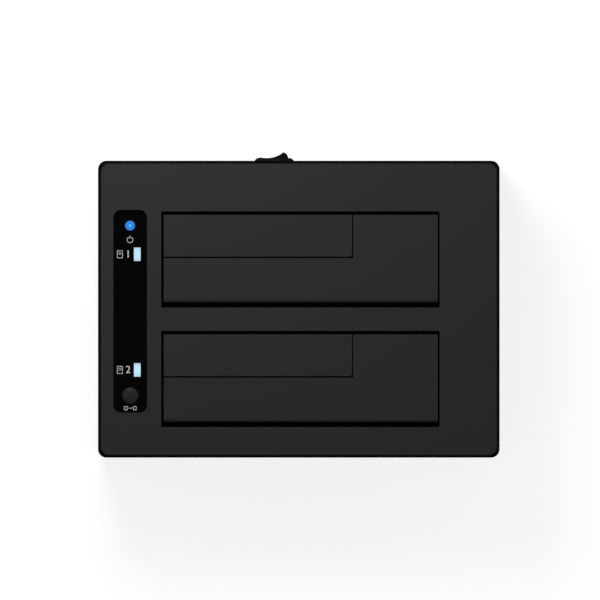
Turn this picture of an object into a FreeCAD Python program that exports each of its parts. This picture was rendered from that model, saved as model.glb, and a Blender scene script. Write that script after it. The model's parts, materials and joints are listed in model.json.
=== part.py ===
"""Two-bay hard drive duplicator: a desktop box with two spring-flap drive bays, built as separate pieces.

Frame: +X right, +Y rear, +Z up; the origin is the middle of the housing's footprint, level with the feet.
"""

import math
import os
import re

import FreeCAD
import Part
import Sketcher

# Driving dimensions in millimetres; angles in degrees.
SIZES = {
    # Housing
    "case_width": 152.0,
    "case_depth": 112.4,
    "case_height": 62.0,
    "foot_stand": 1.6,
    "tray_height": 6.0,
    "wall": 2.4,
    "top_plate": 2.4,
    "corner_radius": 3.2,
    "wall_draft": 1.0,
    "top_edge_chamfer": 0.35,
    "seam_gap": 0.4,
    "tongue_height": 1.4,
    "tongue_wall": 1.2,
    "tongue_gap": 0.2,
    "tray_floor": 2.2,
    "tray_edge_chamfer": 0.8,
    "boss_diameter": 7.0,
    "boss_clearance": 0.3,
    "boss_rib": 1.2,
    "pilot_depth": 10.0,
    "housing_screw_diameter": 3.0,
    "housing_screw_length": 12.0,
    "housing_head_diameter": 5.6,
    "housing_head_height": 1.9,
    "screw_clearance": 0.2,
    "post_recess_depth": 2.0,
    "vent_length": 26.0,
    "vent_width": 2.0,
    "vent_pitch": 5.0,
    "vent_count": 7,
    "foot_diameter": 12.0,
    "foot_inset_across": 18.0,
    "foot_inset_deep": 13.0,
    "foot_edge": 0.5,
    # Drive bays: what the housing keeps round and between the two openings
    "left_margin": 23.92,
    "right_margin": 22.68,
    "rear_margin": 19.16,
    "front_margin": 11.58,
    "bay_web": 8.86,
    "bay_corner_chamfer": 0.3,
    # Drive cage
    "cage_slack": 1.6,
    "cage_wall": 1.6,
    "cage_floor": 2.0,
    "cage_floor_level": 12.0,
    "cage_gap": 0.2,
    "ear_width": 6.4,
    "ear_height": 3.0,
    "ear_drop": 8.0,
    "ear_inset_rear": 9.9,
    "ear_inset_front": 25.9,
    "cage_screw_length": 7.0,
    "guide_rib": 1.2,
    "guide_rib_start": 14.0,
    "guide_rib_spacing": 24.0,
    # Flaps
    "flap_gap_left": 0.95,
    "flap_gap_right": 0.67,
    "flap_gap_rear": 1.3,
    "flap_gap_front": 0.85,
    "flap_drop": 0.15,
    "flap_skin": 1.8,
    "roll_radius": 2.5,
    "barrel_diameter": 3.6,
    "hinge_drop": 4.2,
    "rim_wall": 1.2,
    "flange_lap": 0.8,
    "flange_thickness": 0.9,
    "flange_gap": 0.15,
    "flange_start": 5.0,
    "flap_pin_diameter": 2.0,
    "running_clearance": 0.05,
    "end_play": 0.25,
    "spring_window_start": 60.0,
    "spring_window_width": 8.0,
    "spring_window_half": 1.95,
    "flap_spring_wire": 0.5,
    "flap_spring_pitch": 0.65,
    "flap_spring_turns": 4,
    "flap_spring_slack": 0.2,
    # Small doors
    "door_width": 71.3,
    "door_depth": 15.83,
    "door_gap": 0.55,
    "door_side_gap": 0.4,
    "door_skin": 1.6,
    "door_axis_back": 0.6,
    "door_axis_drop": 2.9,
    "door_corner_radius": 1.1,
    "door_pin_diameter": 1.2,
    "knuckle_diameter": 2.2,
    "knuckle_length": 7.5,
    "knuckle_inset": 2.5,
    "knuckle_play": 0.3,
    "lug_length": 4.0,
    "lug_reach": 3.4,
    "lip_lap": 0.8,
    "notch_rib_back": 2.0,
    "door_spring_wire": 0.4,
    "door_spring_pitch": 0.5,
    "door_spring_turns": 3,
    "door_spring_slack": 0.1,
    # Control strip: places are measured from the housing's left, rear and front faces
    "strip_width": 12.6,
    "strip_inset": 12.16,
    "strip_rear_margin": 18.66,
    "strip_front_margin": 17.14,
    "strip_radius": 2.8,
    "strip_thickness": 1.1,
    "strip_drop": 0.1,
    "strip_gap": 0.1,
    "led_inset": 12.12,
    "led_back": 24.54,
    "led_diameter": 3.7,
    "window_inset": 14.85,
    "rear_window_back": 16.24,
    "front_window_back": 14.78,
    "window_width": 2.5,
    "window_length": 5.1,
    "light_stand": 0.05,
    "light_gap": 0.05,
    "led_body": 3.0,
    "led_body_height": 1.5,
    "led_air_gap": 0.4,
    "button_inset": 12.2,
    "button_forward": 23.56,
    "button_diameter": 6.1,
    "button_stand": 0.6,
    "button_clearance": 0.2,
    "button_flange": 1.0,
    "button_flange_height": 0.8,
    "button_travel": 0.6,
    "button_edge": 0.4,
    "tact_width": 6.0,
    "tact_height": 3.5,
    "plunger_diameter": 3.4,
    "plunger_depth": 1.4,
    "plunger_clearance": 0.2,
    "indicator_width": 11.4,
    "indicator_margin": 1.8,
    "indicator_drop": 7.6,
    "indicator_thickness": 1.2,
    "indicator_boss": 5.0,
    "indicator_screw_rear": 12.0,
    "indicator_screw_front": -14.0,
    "small_screw_diameter": 2.0,
    "small_screw_length": 5.0,
    "small_head_diameter": 3.6,
    "small_head_height": 1.3,
    # Main board
    "board_side_gap": 0.9,
    "board_front_gap": 10.2,
    "board_rear_gap": 3.9,
    "board_thickness": 1.6,
    "standoff_height": 4.2,
    "standoff_diameter": 6.0,
    "standoff_inset": 4.5,
    "board_screw_diameter": 2.6,
    "board_screw_length": 5.0,
    "board_head_diameter": 5.0,
    "board_head_height": 1.7,
    "chip_width": 12.0,
    "chip_height": 1.2,
    "capacitor_diameter": 5.0,
    "capacitor_height": 7.0,
    "capacitor_gap": 0.4,
    "capacitor_start": 30.0,
    "capacitor_pitch": 12.0,
    "choke_width": 6.5,
    "choke_height": 4.0,
    "choke_start": -30.0,
    "choke_pitch": 12.0,
    "crystal_across": 20.0,
    "crystal_length": 5.0,
    "crystal_width": 3.2,
    "crystal_height": 1.1,
    "cable_inset": 15.5,
    "cable_width": 8.0,
    "cable_thickness": 0.8,
    "header_width": 4.0,
    "header_length": 10.0,
    "header_height": 4.4,
    # Drive sockets
    "socket_length": 42.0,
    "socket_width": 5.8,
    "socket_height": 10.0,
    "socket_offset": 20.68,
    "drive_face_to_socket": 4.0,
    "socket_slot_width": 2.2,
    "socket_slot_depth": 5.6,
    "data_slot_length": 10.6,
    "power_slot_length": 20.9,
    "slot_bridge": 2.2,
    "slot_key": 1.3,
    "socket_clearance": 0.4,
    # Rear connectors
    "usb_across": 22.0,
    "usb_width": 12.0,
    "usb_height": 12.4,
    "usb_length": 15.2,
    "usb_mouth_width": 8.5,
    "usb_mouth_height": 7.9,
    "usb_step_width": 6.0,
    "usb_step_height": 2.7,
    "usb_floor": 0.8,
    "usb_mouth_depth": 12.0,
    "usb_tongue_width": 5.6,
    "usb_tongue_height": 3.2,
    "usb_tongue_length": 9.0,
    "jack_across": 44.0,
    "jack_width": 9.0,
    "jack_height": 11.0,
    "jack_length": 14.2,
    "jack_bore": 6.4,
    "jack_depth": 9.5,
    "jack_pin_diameter": 2.1,
    "jack_pin_length": 8.5,
    "panel_gap": 0.3,
    "connector_setback": 0.4,
    # Power rocker
    "rocker_across": -9.34,
    "rocker_level": 40.0,
    "bezel_length": 14.8,
    "bezel_height": 10.6,
    "bezel_stand": 1.0,
    "bezel_slope": 0.9,
    "switch_length": 13.6,
    "switch_height": 9.2,
    "switch_depth": 9.0,
    "switch_window_length": 12.9,
    "switch_window_height": 8.2,
    "switch_window_depth": 7.6,
    "switch_gap": 0.1,
    "rocker_pivot_depth": 2.3,
    "rocker_lean": 12.0,
    "rocker_height": 7.8,
    "rocker_tip_reach": 4.72,
    "rocker_tip_stand": 4.72,
    "rocker_hollow_radius": 10.5,
    "rocker_shoulder_reach": 6.0,
    "rocker_shoulder_stand": 2.1,
    "rocker_heel_reach": 2.6,
    "rocker_heel_depth": 1.8,
    "trunnion_diameter": 1.4,
    "trunnion_length": 0.5,
    "terminal_width": 2.8,
    "terminal_thickness": 0.5,
    "terminal_length": 4.2,
    "terminal_spacing": 6.0,
    "lead_width": 1.4,
}

DOC = FreeCAD.newDocument("drive_duplicator")
SHEET = DOC.addObject("Spreadsheet::Sheet", "Sizes")
for row, (alias, value) in enumerate(SIZES.items(), 1):
    SHEET.set(f"A{row}", alias)
    SHEET.set(f"B{row}", str(value))
    SHEET.setAlias(f"B{row}", alias)
DOC.recompute()

# Levels and edges that several pieces share, as formulas of the sizes.
TOP = "(foot_stand + case_height)"
PLATE_UNDER = f"({TOP} - top_plate)"
SPLIT = "(foot_stand + tray_height)"
TRAY_TOP = "(foot_stand + tray_floor)"
REAR_FACE = "(case_depth / 2)"
INNER_REAR = f"({REAR_FACE} - wall)"
BAY_LEFT = "(left_margin - case_width / 2)"
BAY_RIGHT = "(case_width / 2 - right_margin)"
BAY_WIDTH = "(case_width - left_margin - right_margin)"
BAY_DEPTH = "((case_depth - rear_margin - front_margin - bay_web) / 2)"
BAY_MIDDLE = "((left_margin - right_margin) / 2)"
REAR_BAY_BACK = f"({REAR_FACE} - rear_margin)"
CAGE_TOP = f"({PLATE_UNDER} - cage_gap)"
CAGE_LEFT = f"({BAY_LEFT} - cage_slack - cage_wall)"
CAGE_RIGHT = f"({BAY_RIGHT} + cage_slack + cage_wall)"
CAGE_BACK = f"({REAR_BAY_BACK} + cage_slack + cage_wall)"
CAGE_FRONT = f"(front_margin - {REAR_FACE} - cage_wall)"
EAR_UNDER = f"({CAGE_TOP} - ear_drop)"
HINGE_LEVEL = f"({TOP} - flap_drop - hinge_drop)"
HINGE_IN = "(flap_gap_front + barrel_diameter / 2)"
BOARD_UNDER = f"({TRAY_TOP} + standoff_height)"
BOARD_TOP = f"({BOARD_UNDER} + board_thickness)"
BOARD_FRONT = f"(board_front_gap - {REAR_FACE})"
BOARD_REAR = f"({REAR_FACE} - board_rear_gap)"
STRIP_FLOOR = f"({TOP} - strip_drop - strip_thickness)"
STRIP_ACROSS = "(strip_inset - case_width / 2)"
STRIP_FRONT = f"(strip_front_margin - {REAR_FACE})"
STRIP_LENGTH = "(case_depth - strip_rear_margin - strip_front_margin)"
LED_PLACE = ("(led_inset - case_width / 2)", f"({REAR_FACE} - led_back)")
BUTTON_PLACE = ("(button_inset - case_width / 2)", f"(button_forward - {REAR_FACE})")
INDICATOR_TOP = f"({TOP} - indicator_drop)"
INDICATOR_UNDER = f"({INDICATOR_TOP} - indicator_thickness)"
ROCKER_PIVOT = f"({REAR_FACE} - rocker_pivot_depth)"
BOSS_INSET = "(wall + tongue_gap + tongue_wall + boss_clearance + boss_diameter / 2)"
BOSS_ACROSS = f"(case_width / 2 - {BOSS_INSET})"
BOSS_DEEP = f"(case_depth / 2 - {BOSS_INSET})"
BOSS_FOOT = f"({SPLIT} + seam_gap)"
BOARD_HALF = f"({BOSS_ACROSS} - boss_diameter / 2 - board_side_gap)"
FLAP_BACK = f"({BAY_DEPTH} - flap_gap_rear - {HINGE_IN})"
FLAP_RIGHT = f"({BAY_WIDTH} - flap_gap_right)"
FLANGE_TOP = f"({PLATE_UNDER} - flange_gap - {HINGE_LEVEL})"
FLANGE_UNDER = f"({FLANGE_TOP} - flange_thickness)"
DOOR_AXIS_BACK = f"({FLAP_BACK} - door_depth + door_axis_back)"
DOOR_AXIS_UP = "(hinge_drop - door_axis_drop)"

BAYS = {"rear": 0, "front": 1}
ORIGIN_PLANE = {"x": "YZ_Plane", "y": "XZ_Plane", "z": "XY_Plane"}


def linked(formula):
    """The formula with each size's name pointing into the sheet."""
    return re.sub(r"[a-z][a-z_]+", lambda word: f"Sizes.{word[0]}" if word[0] in SIZES else word[0], formula)


def bay_back(bay):
    """Rear edge of a bay's opening."""
    return f"({REAR_BAY_BACK} - ({BAY_DEPTH} + bay_web) * {BAYS[bay]})"


def bay_front(bay):
    """Front edge of a bay's opening."""
    return f"({bay_back(bay)} - {BAY_DEPTH})"


def window_place(bay):
    """Middle of a bay's light window across and deep."""
    return "(window_inset - case_width / 2)", f"({bay_back(bay)} - {bay}_window_back)"


def new_body(label, place=None):
    """Body of one sub-part, its own origin put at place (three formulas)."""
    body = DOC.addObject("PartDesign::Body", label)
    body.Label = label
    for axis, formula in zip("xyz", place or ()):
        body.setExpression(f"Placement.Base.{axis}", linked(formula))
    return body


def attach(feature, body, along, start=("0", "0", "0")):
    """Puts a feature square to an axis, with its own origin at start, three formulas in the body's frame."""
    x, y, z = start
    offset = {"x": (y, z, x), "y": (x, z, f"-({y})"), "z": (x, y, z)}[along]
    planes = [plane for plane in body.Origin.OriginFeatures if plane.Role == ORIGIN_PLANE[along]]
    feature.AttachmentSupport = (planes[0], [""])
    feature.MapMode = "FlatFace"
    for axis, formula in zip("xyz", offset):
        feature.setExpression(f"AttachmentOffset.Base.{axis}", linked(formula))
    return feature


def new_sketch(body, name, along, start):
    """Sketch square to an axis, with its own origin at start."""
    return attach(body.newObject("Sketcher::SketchObject", name), body, along, start)


def fix(sketch, kind, *where, size=None):
    """One constraint, its value bound to a formula where it has one."""
    if size is None:
        sketch.addConstraint(Sketcher.Constraint(kind, *where))
        return
    index = sketch.addConstraint(Sketcher.Constraint(kind, *where, 1.0))
    sketch.setExpression(f"Constraints[{index}]", linked(size))


def draw_rectangle(sketch, width, height):
    """Rectangle whose low corner is the sketch's origin."""
    corners = [FreeCAD.Vector(x, y, 0) for x, y in ((0, 0), (1, 0), (1, 1), (0, 1))]
    for index in range(4):
        sketch.addGeometry(Part.LineSegment(corners[index], corners[(index + 1) % 4]))
    for index in range(4):
        fix(sketch, "Coincident", index, 2, (index + 1) % 4, 1)
    for index, kind in enumerate(("Horizontal", "Vertical", "Horizontal", "Vertical")):
        fix(sketch, kind, index)
    fix(sketch, "Coincident", 0, 1, -1, 1)
    fix(sketch, "DistanceX", 0, 1, 0, 2, size=width)
    fix(sketch, "DistanceY", 1, 1, 1, 2, size=height)


def draw_circle(sketch, diameter):
    """Circle about the sketch's origin."""
    sketch.addGeometry(Part.Circle(FreeCAD.Vector(0, 0, 0), FreeCAD.Vector(0, 0, 1), 1.0))
    fix(sketch, "Coincident", 0, 3, -1, 1)
    fix(sketch, "Diameter", 0, size=diameter)


def extrude(body, name, sketch, along, length, cut=False):
    """Pad or pocket of a sketch towards + of its axis."""
    feature = body.newObject("PartDesign::Pocket" if cut else "PartDesign::Pad", name)
    feature.Profile = sketch
    feature.Reversed = cut != (along == "y")
    feature.setExpression("Length", linked(length))
    body.Tip = feature
    return feature


def bar(body, name, start, size, cut=False, along="z"):
    """Rectangular block, or the cut of one, from its low corner."""
    sizes = dict(zip("xyz", size))
    length = sizes.pop(along)
    sketch = new_sketch(body, f"{name}_outline", along, start)
    draw_rectangle(sketch, *sizes.values())
    return extrude(body, name, sketch, along, length, cut)


def rod(body, name, start, diameter, length, cut=False, along="z"):
    """Round bar, or a round hole, from the middle of its low end."""
    sketch = new_sketch(body, f"{name}_circle", along, start)
    draw_circle(sketch, diameter)
    return extrude(body, name, sketch, along, length, cut)


def stud(body, name, start, width, length, cut=False, along="z"):
    """Eight-sided bar, or the hole of one, from the middle of its low end; width is over the corners."""
    feature = body.newObject(f"PartDesign::{'Subtractive' if cut else 'Additive'}Prism", name)
    attach(feature, body, along, start)
    feature.Polygon = 8
    feature.setExpression("Circumradius", linked(f"({width}) / 2"))
    feature.setExpression("Height", linked(length))
    body.Tip = feature
    return feature


def edges_of(shape, chosen):
    """Names of the edges for which chosen(edge) holds."""
    return [f"Edge{index}" for index, edge in enumerate(shape.Edges, 1) if chosen(edge)]


def soften(body, name, radius, chosen, kind="PartDesign::Fillet"):
    """Fillet or chamfer on the tip's chosen edges."""
    DOC.recompute()
    base = body.Tip
    feature = body.newObject(kind, name)
    feature.Base = (base, edges_of(base.Shape, chosen))
    feature.setExpression("Radius" if kind == "PartDesign::Fillet" else "Size", linked(radius))
    body.Tip = feature
    return feature


def wedge(body, name, inset, low, rise, cut=False):
    """Drafted block, or the cut of one: the footprint less inset at its low end, leaning in all round."""
    block = body.newObject(f"PartDesign::{'Subtractive' if cut else 'Additive'}Wedge", name)
    attach(block, body, "y")
    lean = f"({rise}) * tan(wall_draft)"
    bounds = {"X": "case_width / 2", "Z": "case_depth / 2"}
    for axis, half in bounds.items():
        for end, sign in (("min", "-"), ("max", "")):
            block.setExpression(f"{axis}{end}", linked(f"{sign}({half} - {inset})"))
            block.setExpression(f"{axis}2{end}", linked(f"{sign}({half} - {inset} - {lean})"))
    block.setExpression("Ymin", linked(low))
    block.setExpression("Ymax", linked(f"{low} + {rise}"))
    body.Tip = block
    return block


def upright(edge):
    """True for a straight edge that stands, or leans only by a draft."""
    return isinstance(edge.Curve, Part.Line) and abs(edge.tangentAt(edge.FirstParameter).z) > 0.99


def level_with(body, pick):
    """Test for edges that lie wholly at the top (pick is max) or the bottom (pick is min) of the tip."""
    DOC.recompute()
    level = pick(vertex.Z for vertex in body.Tip.Shape.Vertexes)

    def lies_there(edge):
        first, last = edge.ParameterRange
        return all(abs(edge.valueAt(at).z - level) < 1e-4 for at in (first, (first + last) / 2, last))
    return lies_there


def corners(across, deep):
    """The four places at +/- across and +/- deep, each with a name."""
    for side_name, side in (("left", -1), ("right", 1)):
        for end_name, end in (("front", -1), ("rear", 1)):
            yield f"{side_name}_{end_name}", f"({side} * ({across}))", f"({end} * ({deep}))"


def primitive(kind, label, place, **sizes):
    """Part primitive with its sizes and its place bound to the sheet."""
    solid = DOC.addObject(f"Part::{kind}", label)
    solid.Label = label
    for name, formula in sizes.items():
        solid.setExpression(name, linked(formula))
    for axis, formula in zip("xyz", place):
        solid.setExpression(f"Placement.Base.{axis}", linked(formula))
    return solid


def cylinder(label, place, diameter, height):
    """Upright cylinder from the middle of its low end."""
    return primitive("Cylinder", label, place, Radius=f"({diameter}) / 2", Height=height)


def shaft(label, place, width, height):
    """Upright eight-sided bar from the middle of its low end; width is over the corners."""
    solid = primitive("Prism", label, place, Circumradius=f"({width}) / 2", Height=height)
    solid.Polygon = 8
    return solid


def box(label, place, size):
    """Block from its low corner."""
    return primitive("Box", label, place, Length=size[0], Width=size[1], Height=size[2])


def joined(label, base, tool):
    """Two solids made into one."""
    result = DOC.addObject("Part::Fuse", label)
    result.Label = label
    result.Base = base
    result.Tool = tool
    return result


def group(label, members):
    """Several alike solids kept as one sub-part."""
    compound = DOC.addObject("Part::Compound", label)
    compound.Label = label
    compound.Links = members
    return compound


# ---------------------------------------------------------------- housing

def make_top_cover():
    """Upper shell: drafted walls, two bay openings, strip recess, bosses and rear cut-outs."""
    body = new_body("top_cover")
    wedge(body, "walls", "0", BOSS_FOOT, f"({TOP} - {BOSS_FOOT})")
    soften(body, "upright_corners", "corner_radius", upright)
    soften(body, "top_edge", "top_edge_chamfer", level_with(body, max), "PartDesign::Chamfer")
    wedge(body, "hollow", "wall", BOSS_FOOT, f"({PLATE_UNDER} - {BOSS_FOOT})", cut=True)

    through = f"{PLATE_UNDER} - top_plate / 2"
    for bay in BAYS:
        bar(body, f"{bay}_opening", (BAY_LEFT, bay_front(bay), through),
            (BAY_WIDTH, BAY_DEPTH, "top_plate * 2"), cut=True)
    soften(body, "opening_corners", "bay_corner_chamfer",
           lambda edge: upright(edge) and abs(edge.Length - SIZES["top_plate"]) < 1e-3, "PartDesign::Chamfer")

    recess_depth = SIZES["strip_drop"] + SIZES["strip_thickness"]
    bar(body, "strip_recess",
        (f"{STRIP_ACROSS} - strip_width / 2 - strip_gap", f"{STRIP_FRONT} - strip_gap", STRIP_FLOOR),
        ("strip_width + 2 * strip_gap", f"{STRIP_LENGTH} + 2 * strip_gap", "top_plate"), cut=True)
    soften(body, "recess_corners", "strip_radius + strip_gap",
           lambda edge: upright(edge) and abs(edge.Length - recess_depth) < 1e-3)
    cut_light_holes(body, through, "top_plate * 2", stud, "/ cos(22.5)")

    boss_rise = f"{PLATE_UNDER} + top_plate / 2"
    for name, across, deep in corners(BOSS_ACROSS, BOSS_DEEP):
        stud(body, f"{name}_boss", (across, deep, BOSS_FOOT), "boss_diameter", f"{boss_rise} - {BOSS_FOOT}")
        outward = "0" if "right" in name else f"-({BOSS_INSET} - wall / 2)"
        bar(body, f"{name}_rib",
            (f"{across} + {outward}", f"{deep} - boss_rib / 2", f"{BOSS_FOOT} + pilot_depth"),
            (f"{BOSS_INSET} - wall / 2", "boss_rib", f"{boss_rise} - {BOSS_FOOT} - pilot_depth"))
        stud(body, f"{name}_pilot", (across, deep, BOSS_FOOT), "housing_screw_diameter", "pilot_depth",
             cut=True)
    for name, across, deep in cage_ears():
        ear_top = f"({EAR_UNDER} + ear_height)"
        stud(body, f"{name}_cage_boss", (across, deep, ear_top), "ear_width", f"{boss_rise} - {ear_top}")
        stud(body, f"{name}_cage_pilot", (across, deep, ear_top), "housing_screw_diameter",
             "cage_screw_length - ear_height + screw_clearance", cut=True)
    for name in ("rear", "front"):
        foot = (STRIP_ACROSS, f"indicator_screw_{name}", INDICATOR_TOP)
        stud(body, f"{name}_indicator_boss", foot, "indicator_boss",
             f"({PLATE_UNDER} + {STRIP_FLOOR}) / 2 - {INDICATOR_TOP}")
        stud(body, f"{name}_indicator_pilot", foot, "small_screw_diameter",
             "small_screw_length - indicator_thickness + screw_clearance", cut=True)

    behind = f"{INNER_REAR} - 2 * wall"
    bar(body, "rocker_cutout",
        ("rocker_across - switch_length / 2 - switch_gap", behind,
         "rocker_level - switch_height / 2 - switch_gap"),
        ("switch_length + 2 * switch_gap", "4 * wall", "switch_height + 2 * switch_gap"), cut=True, along="y")
    bar(body, "usb_cutout",
        ("usb_across - usb_width / 2 - panel_gap", behind, f"{BOARD_TOP} - panel_gap"),
        ("usb_width + 2 * panel_gap", "4 * wall", "usb_height + 2 * panel_gap"), cut=True, along="y")
    bar(body, "jack_cutout",
        ("jack_across - jack_width / 2 - panel_gap", behind, f"{BOARD_TOP} - panel_gap"),
        ("jack_width + 2 * panel_gap", "4 * wall", "jack_height + 2 * panel_gap"), cut=True, along="y")
    return body


def cut_light_holes(body, level, length, hole, widened=""):
    """Holes for the power light, the two bay lights and the clone button; hole makes the two round ones."""
    hole(body, "power_light_hole", (*LED_PLACE, level), f"(led_diameter + 2 * light_gap) {widened}",
         length, cut=True)
    for bay in BAYS:
        across, deep = window_place(bay)
        bar(body, f"{bay}_light_hole",
            (f"{across} - window_width / 2 - light_gap", f"{deep} - window_length / 2 - light_gap", level),
            ("window_width + 2 * light_gap", "window_length + 2 * light_gap", length), cut=True)
    hole(body, "button_hole", (*BUTTON_PLACE, level), f"(button_diameter + 2 * button_clearance) {widened}",
         length, cut=True)


def make_base_tray():
    """Bottom tray: rounded wall, tongue into the cover, screw posts, board standoffs and vents."""
    body = new_body("base_tray")
    bar(body, "floor", ("-case_width / 2", "-case_depth / 2", "foot_stand"),
        ("case_width", "case_depth", "tray_height"))
    soften(body, "upright_corners", "corner_radius", upright)
    soften(body, "bottom_edge", "tray_edge_chamfer", level_with(body, min), "PartDesign::Chamfer")

    tongue_inset = "(wall + tongue_gap)"
    hollow_inset = "(wall + tongue_gap + tongue_wall)"
    bar(body, "tongue", (f"{tongue_inset} - case_width / 2", f"{tongue_inset} - case_depth / 2", TRAY_TOP),
        (f"case_width - 2 * {tongue_inset}", f"case_depth - 2 * {tongue_inset}",
         f"{SPLIT} + tongue_height - {TRAY_TOP}"))
    bar(body, "hollow", (f"{hollow_inset} - case_width / 2", f"{hollow_inset} - case_depth / 2", TRAY_TOP),
        (f"case_width - 2 * {hollow_inset}", f"case_depth - 2 * {hollow_inset}",
         "tray_height + tongue_height"), cut=True)
    for name, across in (("usb", "usb_across"), ("jack", "jack_across")):
        bar(body, f"{name}_tongue_gap",
            (f"{across} - {name}_width / 2 - panel_gap", f"{REAR_FACE} - {hollow_inset} - tongue_wall",
             SPLIT),
            (f"{name}_width + 2 * panel_gap", "3 * tongue_wall", "2 * tongue_height"), cut=True)

    for name, across, deep in corners(BOSS_ACROSS, BOSS_DEEP):
        stud(body, f"{name}_post", (across, deep, "foot_stand + tray_floor / 2"), "boss_diameter",
             f"{BOSS_FOOT} - foot_stand - tray_floor / 2")
        rod(body, f"{name}_head_recess", (across, deep, "0"), "housing_head_diameter + 2 * screw_clearance",
            "foot_stand + post_recess_depth", cut=True)
        stud(body, f"{name}_screw_hole", (across, deep, "0"), "housing_screw_diameter + 2 * screw_clearance",
             f"{BOSS_FOOT} + screw_clearance", cut=True)
    for name, across, deep in board_corners():
        stud(body, f"{name}_standoff", (across, deep, "foot_stand + tray_floor / 2"), "standoff_diameter",
             f"{BOARD_UNDER} - foot_stand - tray_floor / 2")
        stud(body, f"{name}_standoff_pilot", (across, deep, TRAY_TOP), "board_screw_diameter",
             "standoff_height + screw_clearance", cut=True)
    for bay in BAYS:
        row_start = "-(vent_pitch * (vent_count - 1) + vent_width) / 2"
        slot = bar(body, f"{bay}_vent",
                   (row_start, f"{bay_back(bay)} - ({BAY_DEPTH} + vent_length) / 2", "0"),
                   ("vent_width", "vent_length", f"{TRAY_TOP} + tray_floor"), cut=True)
        row = body.newObject("PartDesign::LinearPattern", f"{bay}_vents")
        row.Originals = [slot]
        row.Direction = (slot.Profile[0], ["H_Axis"])
        row.setExpression("Length", linked("vent_pitch * (vent_count - 1)"))
        row.setExpression("Occurrences", linked("vent_count"))
        body.Tip = row
    return body


def cage_ears():
    """Places of the four ears that hold the cage to the cover."""
    places = (("rear", f"({CAGE_BACK} + ear_width / 2)"), ("front", f"({CAGE_FRONT} - ear_width / 2)"))
    for end, deep in places:
        yield f"left_{end}", f"({CAGE_LEFT} + ear_inset_{end})", deep
        yield f"right_{end}", f"({CAGE_RIGHT} - ear_inset_{end})", deep


def board_corners():
    """Places of the four screws of the main board."""
    for side_name, side in (("left", -1), ("right", 1)):
        across = f"({side} * ({BOARD_HALF} - standoff_inset))"
        yield f"{side_name}_front", across, f"({BOARD_FRONT} + standoff_inset)"
        yield f"{side_name}_rear", across, f"({BOARD_REAR} - standoff_inset)"


def make_feet():
    """Four round rubber feet stuck under the tray, each narrowing at its foot."""
    members = []
    places = corners("case_width / 2 - foot_inset_across", "case_depth / 2 - foot_inset_deep")
    for name, across, deep in places:
        pad = cylinder(f"{name}_foot_pad", (across, deep, "foot_edge"), "foot_diameter",
                       "foot_stand - foot_edge")
        rim = primitive("Cone", f"{name}_foot_rim", (across, deep, "0"), Height="foot_edge",
                        Radius1="foot_diameter / 2 - foot_edge", Radius2="foot_diameter / 2")
        members.append(joined(f"{name}_foot", pad, rim))
    return group("rubber_feet", members)


def screw(name, seat, shank, length, head, head_height, cap_shape=shaft):
    """Pan-head screw driven upwards; seat is the middle of the face under which its head bears."""
    across, deep, level = seat
    thread = shaft(f"{name}_thread", seat, shank, length)
    cap = cap_shape(f"{name}_cap", (across, deep, f"{level} - ({head_height})"), head, head_height)
    return joined(name, thread, cap)


def make_screws():
    """All screws, one node for each kind and place."""
    housing = [
        screw(f"{name}_housing_screw", (across, deep, "foot_stand + post_recess_depth"),
              "housing_screw_diameter", "housing_screw_length", "housing_head_diameter",
              "housing_head_height", cylinder)
        for name, across, deep in corners(BOSS_ACROSS, BOSS_DEEP)]
    cage = [
        screw(f"{name}_cage_screw", (across, deep, EAR_UNDER), "housing_screw_diameter", "cage_screw_length",
              "housing_head_diameter", "housing_head_height")
        for name, across, deep in cage_ears()]
    indicator = [
        screw(f"{name}_indicator_screw", (STRIP_ACROSS, f"indicator_screw_{name}", INDICATOR_UNDER),
              "small_screw_diameter", "small_screw_length", "small_head_diameter", "small_head_height")
        for name in ("rear", "front")]
    board = []
    for name, across, deep in board_corners():
        foot = f"{BOARD_TOP} - board_screw_length"
        thread = shaft(f"{name}_board_thread", (across, deep, foot), "board_screw_diameter",
                       "board_screw_length")
        cap = shaft(f"{name}_board_cap", (across, deep, BOARD_TOP), "board_head_diameter",
                    "board_head_height")
        board.append(joined(f"{name}_board_screw", thread, cap))
    return [group("housing_screws", housing), group("cage_screws", cage),
            group("indicator_screws", indicator), group("board_screws", board)]


# ---------------------------------------------------------------- drive bays

def socket_middle(bay):
    """Middle of a bay's drive socket across and deep."""
    return f"({BAY_MIDDLE} - socket_offset)", f"({bay_back(bay)} - drive_face_to_socket)"


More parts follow.
